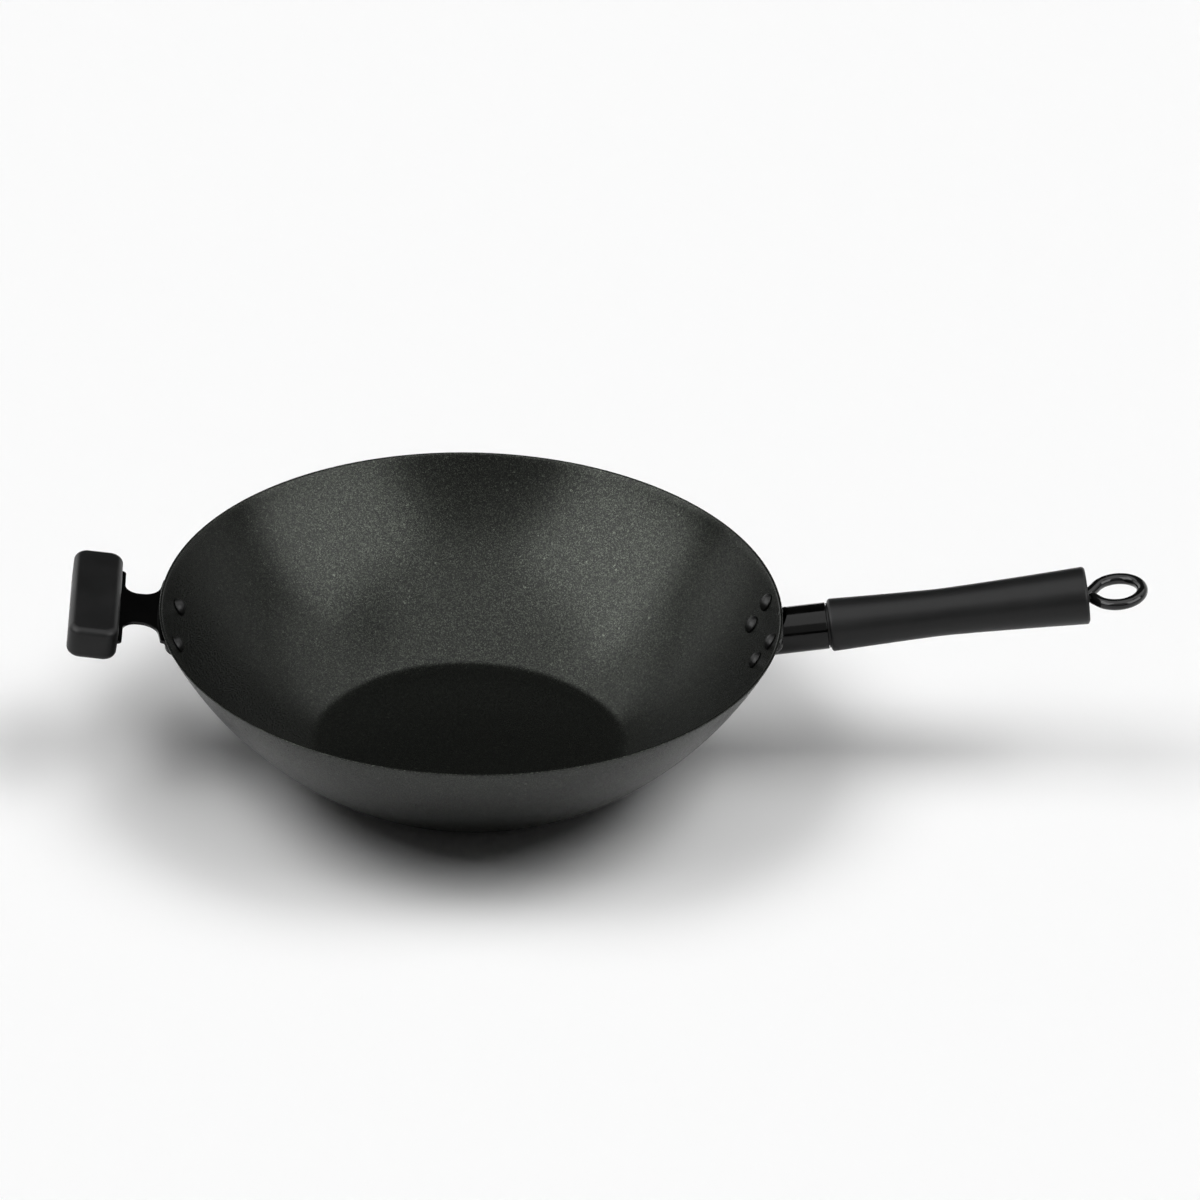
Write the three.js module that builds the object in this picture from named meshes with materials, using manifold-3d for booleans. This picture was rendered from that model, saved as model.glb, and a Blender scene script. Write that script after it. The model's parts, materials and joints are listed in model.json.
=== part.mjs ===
// A nonstick flat-bottomed wok: a spun steel bowl, a long socketed handle whose grip is clamped by a
// through-bolt with a hanging loop, and a short helper handle on the opposite side.
// Millimetres, +Z up. The origin is the centre of the flat base, and +X runs towards the long handle.
import * as THREE from "three";
import { mergeVertices } from "three/addons/utils/BufferGeometryUtils.js";
import Module from "manifold-3d";

// Bowl
const RIM_DIAMETER = 355.6;
const BOWL_HEIGHT = 95.25;
const BASE_DIAMETER = 177.8; // across the circle where the wall's arc reaches the base plane
const WALL_ARC_RADIUS = 224;
const BASE_CORNER_RADIUS = 18;
const BOWL_SHEET = 1.6;

// Rivets
const RIVET_SHANK_DIAMETER = 5;
const RIVET_HEAD_DIAMETER = 9.5;
const RIVET_INNER_HEAD_HEIGHT = 2.4;
const RIVET_OUTER_HEAD_HEIGHT = 3.2;

// Saddle and socket of the long handle
const SADDLE_SHEET = 2;
const SADDLE_MARGIN = 7; // from a rivet's centre to the saddle's edge
const SADDLE_CORNER_RADIUS = 6;
const UPPER_RIVET_DEPTH = 10.7; // along the wall, below the rim
const UPPER_RIVET_SPACING = 43.6;
const LOWER_RIVET_DEPTH = 26.7;
const LOWER_RIVET_SPACING = 39.4;
const HANDLE_DEPTH = 17.9; // along the wall from the rim to the handle's axis
const HANDLE_RISE = 8.3; // degrees above the horizontal
const SOCKET_DIAMETER = 26.8;
const SOCKET_WALL = 1.5;
const SOCKET_LENGTH = 34.8; // along the handle's axis, from the bowl's face to the open end
const WELD_LEG = 1.8;

// Grip of the long handle
const GRIP_LENGTH = 148.4;
const GRIP_GAP = 1.1; // the shadow line between the socket's mouth and the grip's shoulder
const GRIP_FRONT_DIAMETER = 30.4;
const GRIP_WAIST_DIAMETER = 27.1;
const GRIP_REAR_DIAMETER = 33.2;
const GRIP_WAIST_PLACE = 63; // from the front shoulder
const GRIP_SWELL_POWER = 1.3; // how late the grip swells away from its waist
const GRIP_EDGE_RADIUS = 1.4;
const SPIGOT_LENGTH = 13;

// Through-bolt with its hanging loop, and what it screws into
const BOLT_DIAMETER = 6.4;
const LOOP_RADIUS = 14.2; // to the middle of the wire
const LOOP_OFFSET = 17.4; // from the grip's rear face to the loop's centre
const LOOP_OPENING_ANGLE = 35; // degrees from the handle's axis to where each leg meets the loop
const LOOP_NECK_RADIUS = 5;
const LOOP_END_LEG = 3; // straight wire past the loop on the free end
const WASHER_DIAMETER = 12.4;
const WASHER_THICKNESS = 1.2;
const WASHER_RECESS = 2.7; // of the washer's outer face below the grip's rear face
const NUT_ACROSS_FLATS = 10;
const NUT_HEIGHT = 5;
const BULKHEAD_THICKNESS = 3;
const BOLT_END_PAST_NUT = 2.3;

// Helper handle
const HELPER_SHEET = 1.8;
const HELPER_DROP = 4; // of the plate's top face below the rim, at the rim
const HELPER_RISE = 7; // degrees that the plate climbs outwards
const HELPER_RIVET_DEPTH = 17.1;
const HELPER_RIVET_SPACING = 41.2;
const FLANGE_HALF_WIDTH = 33.5;
const FLANGE_STAND_OFF = 1.4; // of the flange's shoulders outside the rim
const FLANGE_DEPTH = 26; // along the wall, below the rim
const FLANGE_CORNER_RADIUS = 5;
const NECK_HALF_WIDTH = 15.6;
const NECK_BOWL_FILLET = 9;
const NECK_GRIP_FILLET = 8;
const TEE_HALF_LENGTH = 38.7;
const TEE_CORNER_RADIUS = 3;
const TEE_STAND_OFF = 20; // along the plate, from the rim to the tee's free edge
const TEE_SHOWING = 2.4; // width of the tee outside the grip
const TEE_INSERTION = 14; // width of the tee inside the grip's slot
const HELPER_GRIP_LENGTH = 90.6;
const HELPER_GRIP_WIDTH = 28.2;
const HELPER_GRIP_HEIGHT = 19.6;
const HELPER_GRIP_CORNER_RADIUS = 8;
const HELPER_GRIP_EDGE_RADIUS = 3;
const SCREW_DIAMETER = 4;
const SCREW_HEAD_DIAMETER = 7.4;
const SCREW_HEAD_HEIGHT = 2.6;
const SCREW_HALF_SPACING = 24;
const SCREW_RECESS = 1; // of the head below the grip's underside
const SCREW_REACH = 5; // past the plate, into the grip's upper half

// Fits
const SEAT_GAP = 0.3; // between pieces that bear on each other
const HOLE_CLEARANCE = 0.3; // radial, round rivets, screws and the bolt

// How finely round shapes are faceted
const BOWL_SIDES = 96;
const HANDLE_SIDES = 28;
const FASTENER_SIDES = 12;
const WALL_STEPS = 8;
const CORNER_STEPS = 3;
const GRIP_STEPS = 12;
const LOOP_STEPS = 44;

const wasm = await Module();
wasm.setup();

// Solids: joining and cutting closed meshes

function toSolid(geometry) {
  const bare = geometry.index ? geometry.toNonIndexed() : geometry.clone();
  const positions = new THREE.BufferGeometry().setAttribute("position", bare.getAttribute("position"));
  const merged = mergeVertices(positions, 1e-4);
  const index = merged.index.array;
  const triangles = [];
  for (let i = 0; i < index.length; i += 3) {
    const [a, b, c] = index.slice(i, i + 3);
    if (a !== b && b !== c && c !== a) triangles.push(a, b, c);
  }
  const vertProperties = merged.getAttribute("position").array;
  const triVerts = new Uint32Array(triangles);
  return new wasm.Manifold(new wasm.Mesh({ numProp: 3, vertProperties, triVerts }));
}

function toGeometry(solid) {
  const { vertProperties, triVerts } = solid.getMesh();
  const geometry = new THREE.BufferGeometry();
  geometry.setAttribute("position", new THREE.BufferAttribute(new Float32Array(vertProperties), 3));
  geometry.setIndex(new THREE.BufferAttribute(new Uint32Array(triVerts), 1));
  geometry.computeVertexNormals();
  return geometry;
}

function cutAway(solid, tools) {
  return tools.reduce((rest, tool) => rest.subtract(tool), solid);
}

// Materials, from the finishes seen on the object

const FINISH = {
  coating: new THREE.MeshStandardMaterial({ color: 0x2c2e2d, roughness: 0.5, metalness: 0.35 }),
  enamel: new THREE.MeshStandardMaterial({ color: 0x0b0b0a, roughness: 0.16, metalness: 0.1 }),
  phenolic: new THREE.MeshStandardMaterial({ color: 0x1b1c1d, roughness: 0.48, metalness: 0 }),
  blackedSteel: new THREE.MeshStandardMaterial({ color: 0x17181a, roughness: 0.22, metalness: 0.7 }),
  zincSteel: new THREE.MeshStandardMaterial({ color: 0x9a9c9b, roughness: 0.35, metalness: 0.9 }),
};

function piece(name, geometry, finish) {
  const mesh = new THREE.Mesh(geometry, finish);
  mesh.name = name;
  return mesh;
}

// Round shapes

const vec2 = (x, y) => new THREE.Vector2(x, y);
const radians = THREE.MathUtils.degToRad;

// Points of an arc about a centre, from one angle to another, both in radians.
function arc(centre, radius, from, to, steps) {
  return Array.from({ length: steps + 1 }, (_, i) => {
    const angle = from + ((to - from) * i) / steps;
    return vec2(centre.x + radius * Math.cos(angle), centre.y + radius * Math.sin(angle));
  });
}

// A profile of (radius, height) points turned about the Z axis.
function turnedAboutZ(profile, sides) {
  return new THREE.LatheGeometry(profile, sides).rotateX(Math.PI / 2);
}

// A profile of (radius, distance) points turned about the X axis.
function turnedAboutX(profile, sides) {
  return new THREE.LatheGeometry(profile, sides).rotateZ(-Math.PI / 2);
}

function closed(profile) {
  return [...profile, profile[0].clone()];
}

function roundRod(radius, from, to, sides) {
  return turnedAboutX([vec2(0, from), vec2(radius, from), vec2(radius, to), vec2(0, to)], sides);
}

// A rectangle with round corners, centred on a point.
function roundedRectangle(width, length, cornerRadius, centre = vec2(0, 0)) {
  const across = width / 2 - cornerRadius;
  const along = length / 2 - cornerRadius;
  const shape = new THREE.Shape();
  const corners = [[across, along], [-across, along], [-across, -along], [across, -along]];
  corners.forEach(([x, y], i) => {
    shape.absarc(centre.x + x, centre.y + y, cornerRadius, (i * Math.PI) / 2, ((i + 1) * Math.PI) / 2, false);
  });
  return shape;
}

// Bowl: the wall's arc in the (radius, height) plane, and surfaces at a distance outside it

const RIM_POINT = vec2(RIM_DIAMETER / 2, BOWL_HEIGHT);
const BASE_POINT = vec2(BASE_DIAMETER / 2, 0);
const WALL_CENTRE = wallCentre();
const RIM_SLOPE = Math.acos((WALL_CENTRE.y - BOWL_HEIGHT) / WALL_ARC_RADIUS);

function wallCentre() {
  const chord = RIM_POINT.clone().sub(BASE_POINT);
  const middle = RIM_POINT.clone().add(BASE_POINT).multiplyScalar(0.5);
  const inward = vec2(-chord.y, chord.x).normalize();
  const distance = Math.sqrt(WALL_ARC_RADIUS ** 2 - chord.lengthSq() / 4);
  return middle.addScaledVector(inward, distance);
}

// The place on the wall's outer face at a distance along the arc below the rim.
function wallAt(depth) {
  const slope = RIM_SLOPE - depth / WALL_ARC_RADIUS;
  return {
    slope,
    radius: WALL_CENTRE.x + WALL_ARC_RADIUS * Math.sin(slope),
    height: WALL_CENTRE.y - WALL_ARC_RADIUS * Math.cos(slope),
  };
}

// Profile from the axis to the rim's height on the surface that lies this far outside the outer face.
function bowlSurface(offset) {
  const wallRadius = WALL_ARC_RADIUS + offset;
  const cornerRadius = BASE_CORNER_RADIUS + offset;
  const rise = WALL_CENTRE.y - BASE_CORNER_RADIUS;
  const reach = Math.sqrt((WALL_ARC_RADIUS - BASE_CORNER_RADIUS) ** 2 - rise ** 2);
  const cornerCentre = vec2(WALL_CENTRE.x + reach, BASE_CORNER_RADIUS);
  const cornerEnd = Math.atan2(-rise, reach);
  const rimAngle = Math.asin((BOWL_HEIGHT - WALL_CENTRE.y) / wallRadius);
  const corner = arc(cornerCentre, cornerRadius, -Math.PI / 2, cornerEnd, CORNER_STEPS);
  const wall = arc(WALL_CENTRE, wallRadius, cornerEnd, rimAngle, WALL_STEPS);
  return [vec2(0, -offset), ...corner, ...wall.slice(1)];
}

// Everything inside the surface that lies this far outside the bowl, up to the rim's height.
function insideOfBowl(offset) {
  return toSolid(turnedAboutZ([...bowlSurface(offset), vec2(0, BOWL_HEIGHT)], BOWL_SIDES));
}

// A frame on the bowl's outer face: local X points out along the wall's normal, local Y across the handle.
function wallFrame(depth, across, side) {
  const { slope, radius, height } = wallAt(depth);
  const turn = Math.asin(across / radius);
  const heading = side > 0 ? turn : Math.PI - turn;
  const frame = new THREE.Object3D();
  frame.position.set(radius * Math.cos(heading), radius * Math.sin(heading), height);
  frame.rotation.set(0, Math.PI / 2 - slope, heading, "ZYX");
  frame.updateMatrix();
  return frame;
}

function rivetPair(depth, spacing, side) {
  return [spacing / 2, -spacing / 2].map((across) => wallFrame(depth, across, side));
}

const handleRivetFrames = [
  ...rivetPair(UPPER_RIVET_DEPTH, UPPER_RIVET_SPACING, 1),
  ...rivetPair(LOWER_RIVET_DEPTH, LOWER_RIVET_SPACING, 1),
];
const helperRivetFrames = rivetPair(HELPER_RIVET_DEPTH, HELPER_RIVET_SPACING, -1);

function rivetHoles(frames) {
  const radius = RIVET_SHANK_DIAMETER / 2 + HOLE_CLEARANCE;
  const reach = RIVET_HEAD_DIAMETER;
  return frames.map((frame) => {
    return toSolid(roundRod(radius, -reach, reach, FASTENER_SIDES).applyMatrix4(frame.matrix));
  });
}

function wokBowl() {
  const profile = [...bowlSurface(0), ...bowlSurface(-BOWL_SHEET).reverse()];
  const shell = toSolid(turnedAboutZ(profile, BOWL_SIDES));
  const drilled = cutAway(shell, rivetHoles([...handleRivetFrames, ...helperRivetFrames]));
  return piece("wok_bowl", toGeometry(drilled), FINISH.coating);
}

// A domed head as (radius, distance) points from its edge to its crown, on one side of a seat.
function dome(radius, height, seat, direction, steps) {
  const sphere = (radius ** 2 + height ** 2) / (2 * height);
  const halfAngle = Math.asin(radius / sphere);
  return Array.from({ length: steps + 1 }, (_, i) => {
    const angle = halfAngle * (1 - i / steps);
    const rise = height - sphere * (1 - Math.cos(angle));
    return vec2(sphere * Math.sin(angle), seat + direction * rise);
  });
}

function rivet(name, frame, bracketSheet) {
  const headRadius = RIVET_HEAD_DIAMETER / 2;
  const shankRadius = RIVET_SHANK_DIAMETER / 2;
  const innerSeat = -BOWL_SHEET - SEAT_GAP;
  const outerSeat = SEAT_GAP + bracketSheet + SEAT_GAP;
  const profile = [
    ...dome(headRadius, RIVET_INNER_HEAD_HEIGHT, innerSeat, -1, 4).reverse(),
    vec2(shankRadius, innerSeat),
    vec2(shankRadius, outerSeat),
    ...dome(headRadius, RIVET_OUTER_HEAD_HEIGHT, outerSeat, 1, 3),
  ];
  const mesh = piece(name, turnedAboutX(profile, FASTENER_SIDES), FINISH.coating);
  mesh.position.copy(frame.position);
  mesh.quaternion.copy(frame.quaternion);
  return mesh;
}

// Long handle: everything lies along an axis that leaves the bowl between the four rivets

const SADDLE_DEPTH = (UPPER_RIVET_DEPTH + LOWER_RIVET_DEPTH) / 2;
const SADDLE_FACE = SEAT_GAP + SADDLE_SHEET;
const SOCKET_RADIUS = SOCKET_DIAMETER / 2;
const BOLT_RADIUS = BOLT_DIAMETER / 2;
const BOLT_HOLE_RADIUS = BOLT_RADIUS + HOLE_CLEARANCE;
const GRIP_FRONT = SOCKET_LENGTH + GRIP_GAP;
const GRIP_REAR = GRIP_FRONT + GRIP_LENGTH;
const SPIGOT_END = GRIP_FRONT - SPIGOT_LENGTH;
const BULKHEAD_FACE = SPIGOT_END - SEAT_GAP;
const NUT_FACE = BULKHEAD_FACE - BULKHEAD_THICKNESS - SEAT_GAP;
const BOLT_END = NUT_FACE - NUT_HEIGHT - BOLT_END_PAST_NUT;
const SOCKET_BORE_RADIUS = SOCKET_RADIUS - SOCKET_WALL;
const WASHER_FACE = GRIP_REAR - WASHER_RECESS;
const WASHER_BACK = WASHER_FACE - WASHER_THICKNESS;
const WASHER_SEAT_RADIUS = WASHER_DIAMETER / 2 + SEAT_GAP;

function handleFrame() {
  const { radius, height } = wallAt(HANDLE_DEPTH);
  const frame = new THREE.Group();
  frame.position.set(radius, 0, height);
  frame.rotation.y = -radians(HANDLE_RISE);
  frame.updateMatrix();
  return frame;
}

const handle = handleFrame();

function handleSaddle() {
  const shell = insideOfBowl(SADDLE_FACE).subtract(insideOfBowl(SEAT_GAP));
  const width = UPPER_RIVET_SPACING + 2 * SADDLE_MARGIN;
  const height = LOWER_RIVET_DEPTH - UPPER_RIVET_DEPTH + 2 * SADDLE_MARGIN;
  const outline = new THREE.ExtrudeGeometry(roundedRectangle(height, width, SADDLE_CORNER_RADIUS), {
    depth: SOCKET_DIAMETER,
    bevelEnabled: false,
    curveSegments: 5,
  });
  outline.translate(0, 0, -SOCKET_DIAMETER / 2).rotateY(Math.PI / 2);
  outline.applyMatrix4(wallFrame(SADDLE_DEPTH, 0, 1).matrix);
  const blank = shell.intersect(toSolid(outline));
  return piece("handle_saddle", toGeometry(cutAway(blank, rivetHoles(handleRivetFrames))), FINISH.enamel);
}

// A profile of a flat ring or sleeve round the handle's axis, between two distances along it.
function sleeve(inner, outer, from, to) {
  return closed([vec2(inner, from), vec2(outer, from), vec2(outer, to), vec2(inner, to)]);
}

function sleeveOnBowl(inner, outer, from, to) {
  return toSolid(turnedAboutX(sleeve(inner, outer, from, to), HANDLE_SIDES).applyMatrix4(handle.matrix));
}

// The tube starts inside the bowl and is coped to sit on the saddle.
function handleSocket() {
  const tube = sleeveOnBowl(SOCKET_BORE_RADIUS, SOCKET_RADIUS, -SOCKET_DIAMETER, SOCKET_LENGTH);
  const coped = tube.subtract(insideOfBowl(SADDLE_FACE + SEAT_GAP)).decompose();
  const outside = coped.reduce((a, b) => (a.boundingBox().max[0] > b.boundingBox().max[0] ? a : b));
  return piece("handle_socket", toGeometry(outside), FINISH.enamel);
}

// The bead runs round the lower half of the tube, where it meets the saddle.
function socketWeld() {
  const inner = SOCKET_RADIUS + SEAT_GAP;
  const face = SADDLE_FACE + SEAT_GAP;
  const ring = sleeveOnBowl(inner, inner + WELD_LEG, -SOCKET_LENGTH, SOCKET_LENGTH);
  const below = new THREE.BoxGeometry(2 * SOCKET_LENGTH, 2 * SOCKET_DIAMETER, SOCKET_DIAMETER);
  below.translate(0, 0, -SOCKET_RADIUS).applyMatrix4(handle.matrix);
  const layer = insideOfBowl(face + WELD_LEG).subtract(insideOfBowl(face));
  const bead = ring.intersect(layer).intersect(toSolid(below));
  return piece("socket_weld", toGeometry(bead), FINISH.enamel);
}

function ringOnBolt(radius, back, face) {
  return turnedAboutX(sleeve(BOLT_HOLE_RADIUS, radius, back, face), HANDLE_SIDES);
}

function socketBulkhead() {
  const ring = ringOnBolt(SOCKET_BORE_RADIUS - SEAT_GAP, BULKHEAD_FACE - BULKHEAD_THICKNESS, BULKHEAD_FACE);
  return piece("socket_bulkhead", ring, FINISH.zincSteel);
}

function boltWasher() {
  return piece("bolt_washer", ringOnBolt(WASHER_DIAMETER / 2, WASHER_BACK, WASHER_FACE), FINISH.zincSteel);
}

function boltNut() {
  const hexagon = new THREE.Shape();
  const corner = NUT_ACROSS_FLATS / Math.sqrt(3);
  for (let i = 0; i < 6; i += 1) {
    const angle = (i * Math.PI) / 3;
    const [x, y] = [corner * Math.cos(angle), corner * Math.sin(angle)];
    if (i === 0) hexagon.moveTo(x, y);
    else hexagon.lineTo(x, y);
  }
  hexagon.closePath();
  const hole = new THREE.Path().absarc(0, 0, BOLT_HOLE_RADIUS, 0, 2 * Math.PI, true);
  hexagon.holes.push(hole);
  const geometry = new THREE.ExtrudeGeometry(hexagon, {
    depth: NUT_HEIGHT,
    bevelEnabled: false,
    curveSegments: FASTENER_SIDES / 2,
  });
  geometry.rotateY(Math.PI / 2).translate(NUT_FACE - NUT_HEIGHT, 0, 0);
  return piece("bolt_nut", geometry, FINISH.zincSteel);
}

// The grip's radius at a distance behind its shoulder: waisted, and widest at the rear.
function gripRadius(distance) {
  const towardsFront = distance < GRIP_WAIST_PLACE;
  const span = towardsFront ? GRIP_WAIST_PLACE : GRIP_LENGTH - GRIP_WAIST_PLACE;
  const end = towardsFront ? GRIP_FRONT_DIAMETER : GRIP_REAR_DIAMETER;
  const share = Math.abs(distance - GRIP_WAIST_PLACE) / span;
  return (GRIP_WAIST_DIAMETER + (end - GRIP_WAIST_DIAMETER) * share ** GRIP_SWELL_POWER) / 2;
}

function handleGrip() {
  const spigotRadius = SOCKET_BORE_RADIUS - SEAT_GAP;
  const frontRadius = gripRadius(GRIP_EDGE_RADIUS) - GRIP_EDGE_RADIUS;
  const rearRadius = gripRadius(GRIP_LENGTH - GRIP_EDGE_RADIUS) - GRIP_EDGE_RADIUS;
  const frontEdge = vec2(frontRadius, GRIP_FRONT + GRIP_EDGE_RADIUS);
  const rearEdge = vec2(rearRadius, GRIP_REAR - GRIP_EDGE_RADIUS);
  const flank = Array.from({ length: GRIP_STEPS - 1 }, (_, i) => {
    const distance = (GRIP_LENGTH * (i + 1)) / GRIP_STEPS;
    return vec2(gripRadius(distance), GRIP_FRONT + distance);
  });
  const profile = [
    vec2(BOLT_HOLE_RADIUS, SPIGOT_END),
    vec2(spigotRadius, SPIGOT_END),
    vec2(spigotRadius, GRIP_FRONT),
    ...arc(frontEdge, GRIP_EDGE_RADIUS, -Math.PI / 2, 0, 3),
    ...flank,
    ...arc(rearEdge, GRIP_EDGE_RADIUS, 0, Math.PI / 2, 3),
    vec2(WASHER_SEAT_RADIUS, GRIP_REAR),
    vec2(WASHER_SEAT_RADIUS, WASHER_BACK - SEAT_GAP),
    vec2(BOLT_HOLE_RADIUS, WASHER_BACK - SEAT_GAP),
  ];
  return piece("handle_grip", turnedAboutX(closed(profile), HANDLE_SIDES), FINISH.phenolic);
}

// The wire's middle line in the loop's plane: along the axis, out round the neck, and round the loop.
function loopLine() {
  const opening = radians(LOOP_OPENING_ANGLE);
  const bend = Math.PI / 2 - opening;
  const centre = vec2(GRIP_REAR + LOOP_OFFSET, 0);
  const meeting = vec2(centre.x - LOOP_RADIUS / Math.cos(opening), 0);
  const neckStart = meeting.x - LOOP_NECK_RADIUS * Math.tan(bend / 2);
  const neckCentre = vec2(neckStart, LOOP_NECK_RADIUS);
  const neck = arc(neckCentre, LOOP_NECK_RADIUS, -Math.PI / 2, -Math.PI / 2 + bend, 5);
  const loop = arc(centre, LOOP_RADIUS, Math.PI - opening, opening - Math.PI, 30);
  const leg = vec2(-Math.sin(opening), Math.cos(opening)).multiplyScalar(LOOP_END_LEG);
  const end = loop[loop.length - 1].clone().add(leg);
  const shank = vec2(neckStart - BOLT_DIAMETER, 0);
  return [shank, ...neck, ...loop, end].map((p) => new THREE.Vector3(p.x, p.y, 0));
}

function loopBolt() {
  const line = loopLine();
  const section = new THREE.Shape();
  section.absarc(0, 0, BOLT_RADIUS, 0, 2 * Math.PI, false);
  const wire = new THREE.ExtrudeGeometry(section, {
    steps: LOOP_STEPS,
    curveSegments: FASTENER_SIDES / 2,
    extrudePath: new THREE.CatmullRomCurve3(line, false, "centripetal"),
  });
  const shank = roundRod(BOLT_RADIUS, BOLT_END, line[0].x + BOLT_RADIUS, FASTENER_SIDES);
  return piece("loop_bolt", toGeometry(toSolid(wire).add(toSolid(shank))), FINISH.blackedSteel);
}

// Helper handle: a bent plate riveted under the rim, whose tee end lies in a slot in the grip.
// Its frame lies in the middle of the plate at the rim, with local -X running out along the plate.

const PLATE_HALF = HELPER_SHEET / 2;
const HELPER_GRIP_FACE = TEE_STAND_OFF + TEE_SHOWING;
const TEE_END = HELPER_GRIP_FACE + TEE_INSERTION;
const HELPER_GRIP_MIDDLE = HELPER_GRIP_FACE + HELPER_GRIP_WIDTH / 2;
const HELPER_GRIP_UNDERSIDE = -HELPER_GRIP_HEIGHT / 2;
const SCREW_PLACE = HELPER_GRIP_FACE + TEE_INSERTION / 2;
const SCREW_SEAT = HELPER_GRIP_UNDERSIDE + SCREW_RECESS + SCREW_HEAD_HEIGHT;
const SCREW_TIP = PLATE_HALF + SCREW_REACH;
const screwSides = [1, -1];

function helperFrame() {
  const frame = new THREE.Group();
  frame.position.set(-RIM_DIAMETER / 2, 0, BOWL_HEIGHT - HELPER_DROP - PLATE_HALF);
  frame.rotation.y = radians(HELPER_RISE);
  frame.updateMatrix();
  return frame;
}

const helper = helperFrame();

// The plate's outline from above, from the flange's lower edge to the tee's end.
// Half of it is drawn as distances from the bowl's axis, then mirrored.
function helperOutline() {
  const rim = RIM_DIAMETER / 2;
  const shoulder = rim + FLANGE_STAND_OFF;
  const flangeEnd = wallAt(FLANGE_DEPTH).radius;
  const teeEdge = rim + TEE_STAND_OFF;
  const filletAcross = NECK_HALF_WIDTH + NECK_BOWL_FILLET;
  const filletReach = Math.sqrt((shoulder + NECK_BOWL_FILLET) ** 2 - filletAcross ** 2);
  const filletStart = Math.atan2(filletAcross, filletReach);
  const bowlFillet = vec2(filletReach, filletAcross);
  const flangeCorner = vec2(flangeEnd + FLANGE_CORNER_RADIUS, FLANGE_HALF_WIDTH - FLANGE_CORNER_RADIUS);
  const teeFillet = vec2(teeEdge - NECK_GRIP_FILLET, NECK_HALF_WIDTH + NECK_GRIP_FILLET);
  const teeCorner = vec2(teeEdge + TEE_CORNER_RADIUS, TEE_HALF_LENGTH - TEE_CORNER_RADIUS);
  const half = [
    ...arc(flangeCorner, FLANGE_CORNER_RADIUS, Math.PI, Math.PI / 2, 4),
    ...arc(vec2(0, 0), shoulder, Math.asin(FLANGE_HALF_WIDTH / shoulder), filletStart, 3),
    ...arc(bowlFillet, NECK_BOWL_FILLET, Math.PI + filletStart, 1.5 * Math.PI, 4).slice(1),
    ...arc(teeFillet, NECK_GRIP_FILLET, -Math.PI / 2, 0, 5),
    ...arc(teeCorner, TEE_CORNER_RADIUS, Math.PI, Math.PI / 2, 3),
    vec2(rim + TEE_END, TEE_HALF_LENGTH),
  ];
  const side = (sign) => half.map((p) => vec2(rim - p.x, sign * p.y));
  return new THREE.Shape([...side(1), ...side(-1).reverse()]);
}

// The outline given a thickness across the plate, in the bowl's frame.
function helperPrism(bottom, top) {
  const prism = new THREE.ExtrudeGeometry(helperOutline(), { depth: top - bottom, bevelEnabled: false });
  return toSolid(prism.translate(0, 0, bottom).applyMatrix4(helper.matrix));
}

function helperBracket() {
  const shell = insideOfBowl(SEAT_GAP + HELPER_SHEET).subtract(insideOfBowl(SEAT_GAP));
  const flange = shell.intersect(helperPrism(-2 * FLANGE_DEPTH, PLATE_HALF));
  const plate = helperPrism(-PLATE_HALF, PLATE_HALF).subtract(insideOfBowl(SEAT_GAP));
  const screws = screwHoles().map((hole) => toSolid(hole.applyMatrix4(helper.matrix)));
  const drilled = cutAway(flange.add(plate), [...rivetHoles(helperRivetFrames), ...screws]);
  return piece("helper_bracket", toGeometry(drilled), FINISH.enamel);
}

function rodAcrossPlate(radius, from, to, side) {
  const profile = [vec2(0, from), vec2(radius, from), vec2(radius, to), vec2(0, to)];
  return turnedAboutZ(profile, FASTENER_SIDES).translate(-SCREW_PLACE, side * SCREW_HALF_SPACING, 0);
}

function screwHoles() {
  const radius = SCREW_DIAMETER / 2 + HOLE_CLEARANCE;
  const tip = SCREW_TIP + HOLE_CLEARANCE;
  return screwSides.map((side) => rodAcrossPlate(radius, HELPER_GRIP_UNDERSIDE, tip, side));
}

function helperGrip() {
  const block = new THREE.ExtrudeGeometry(
    roundedRectangle(HELPER_GRIP_WIDTH, HELPER_GRIP_LENGTH, HELPER_GRIP_CORNER_RADIUS),
    {
      depth: HELPER_GRIP_HEIGHT - 2 * HELPER_GRIP_EDGE_RADIUS,
      curveSegments: 5,
      bevelThickness: HELPER_GRIP_EDGE_RADIUS,
      bevelSize: HELPER_GRIP_EDGE_RADIUS,
      bevelOffset: -HELPER_GRIP_EDGE_RADIUS,
      bevelSegments: 3,
    },
  ).translate(-HELPER_GRIP_MIDDLE, 0, HELPER_GRIP_UNDERSIDE + HELPER_GRIP_EDGE_RADIUS);
  const slotDepth = 2 * (TEE_INSERTION + SEAT_GAP);
  const slotLength = 2 * (TEE_HALF_LENGTH + SEAT_GAP);
  const slot = new THREE.BoxGeometry(slotDepth, slotLength, HELPER_SHEET + 2 * SEAT_GAP);
  slot.translate(-HELPER_GRIP_FACE, 0, 0);
  const counterbores = screwSides.map((side) => {
    const radius = SCREW_HEAD_DIAMETER / 2 + HOLE_CLEARANCE;
    return rodAcrossPlate(radius, HELPER_GRIP_UNDERSIDE - SCREW_RECESS, SCREW_SEAT + SEAT_GAP, side);
  });
  const cuts = [slot, ...screwHoles(), ...counterbores].map(toSolid);
  return piece("helper_grip", toGeometry(cutAway(toSolid(block), cuts)), FINISH.phenolic);
}

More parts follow.
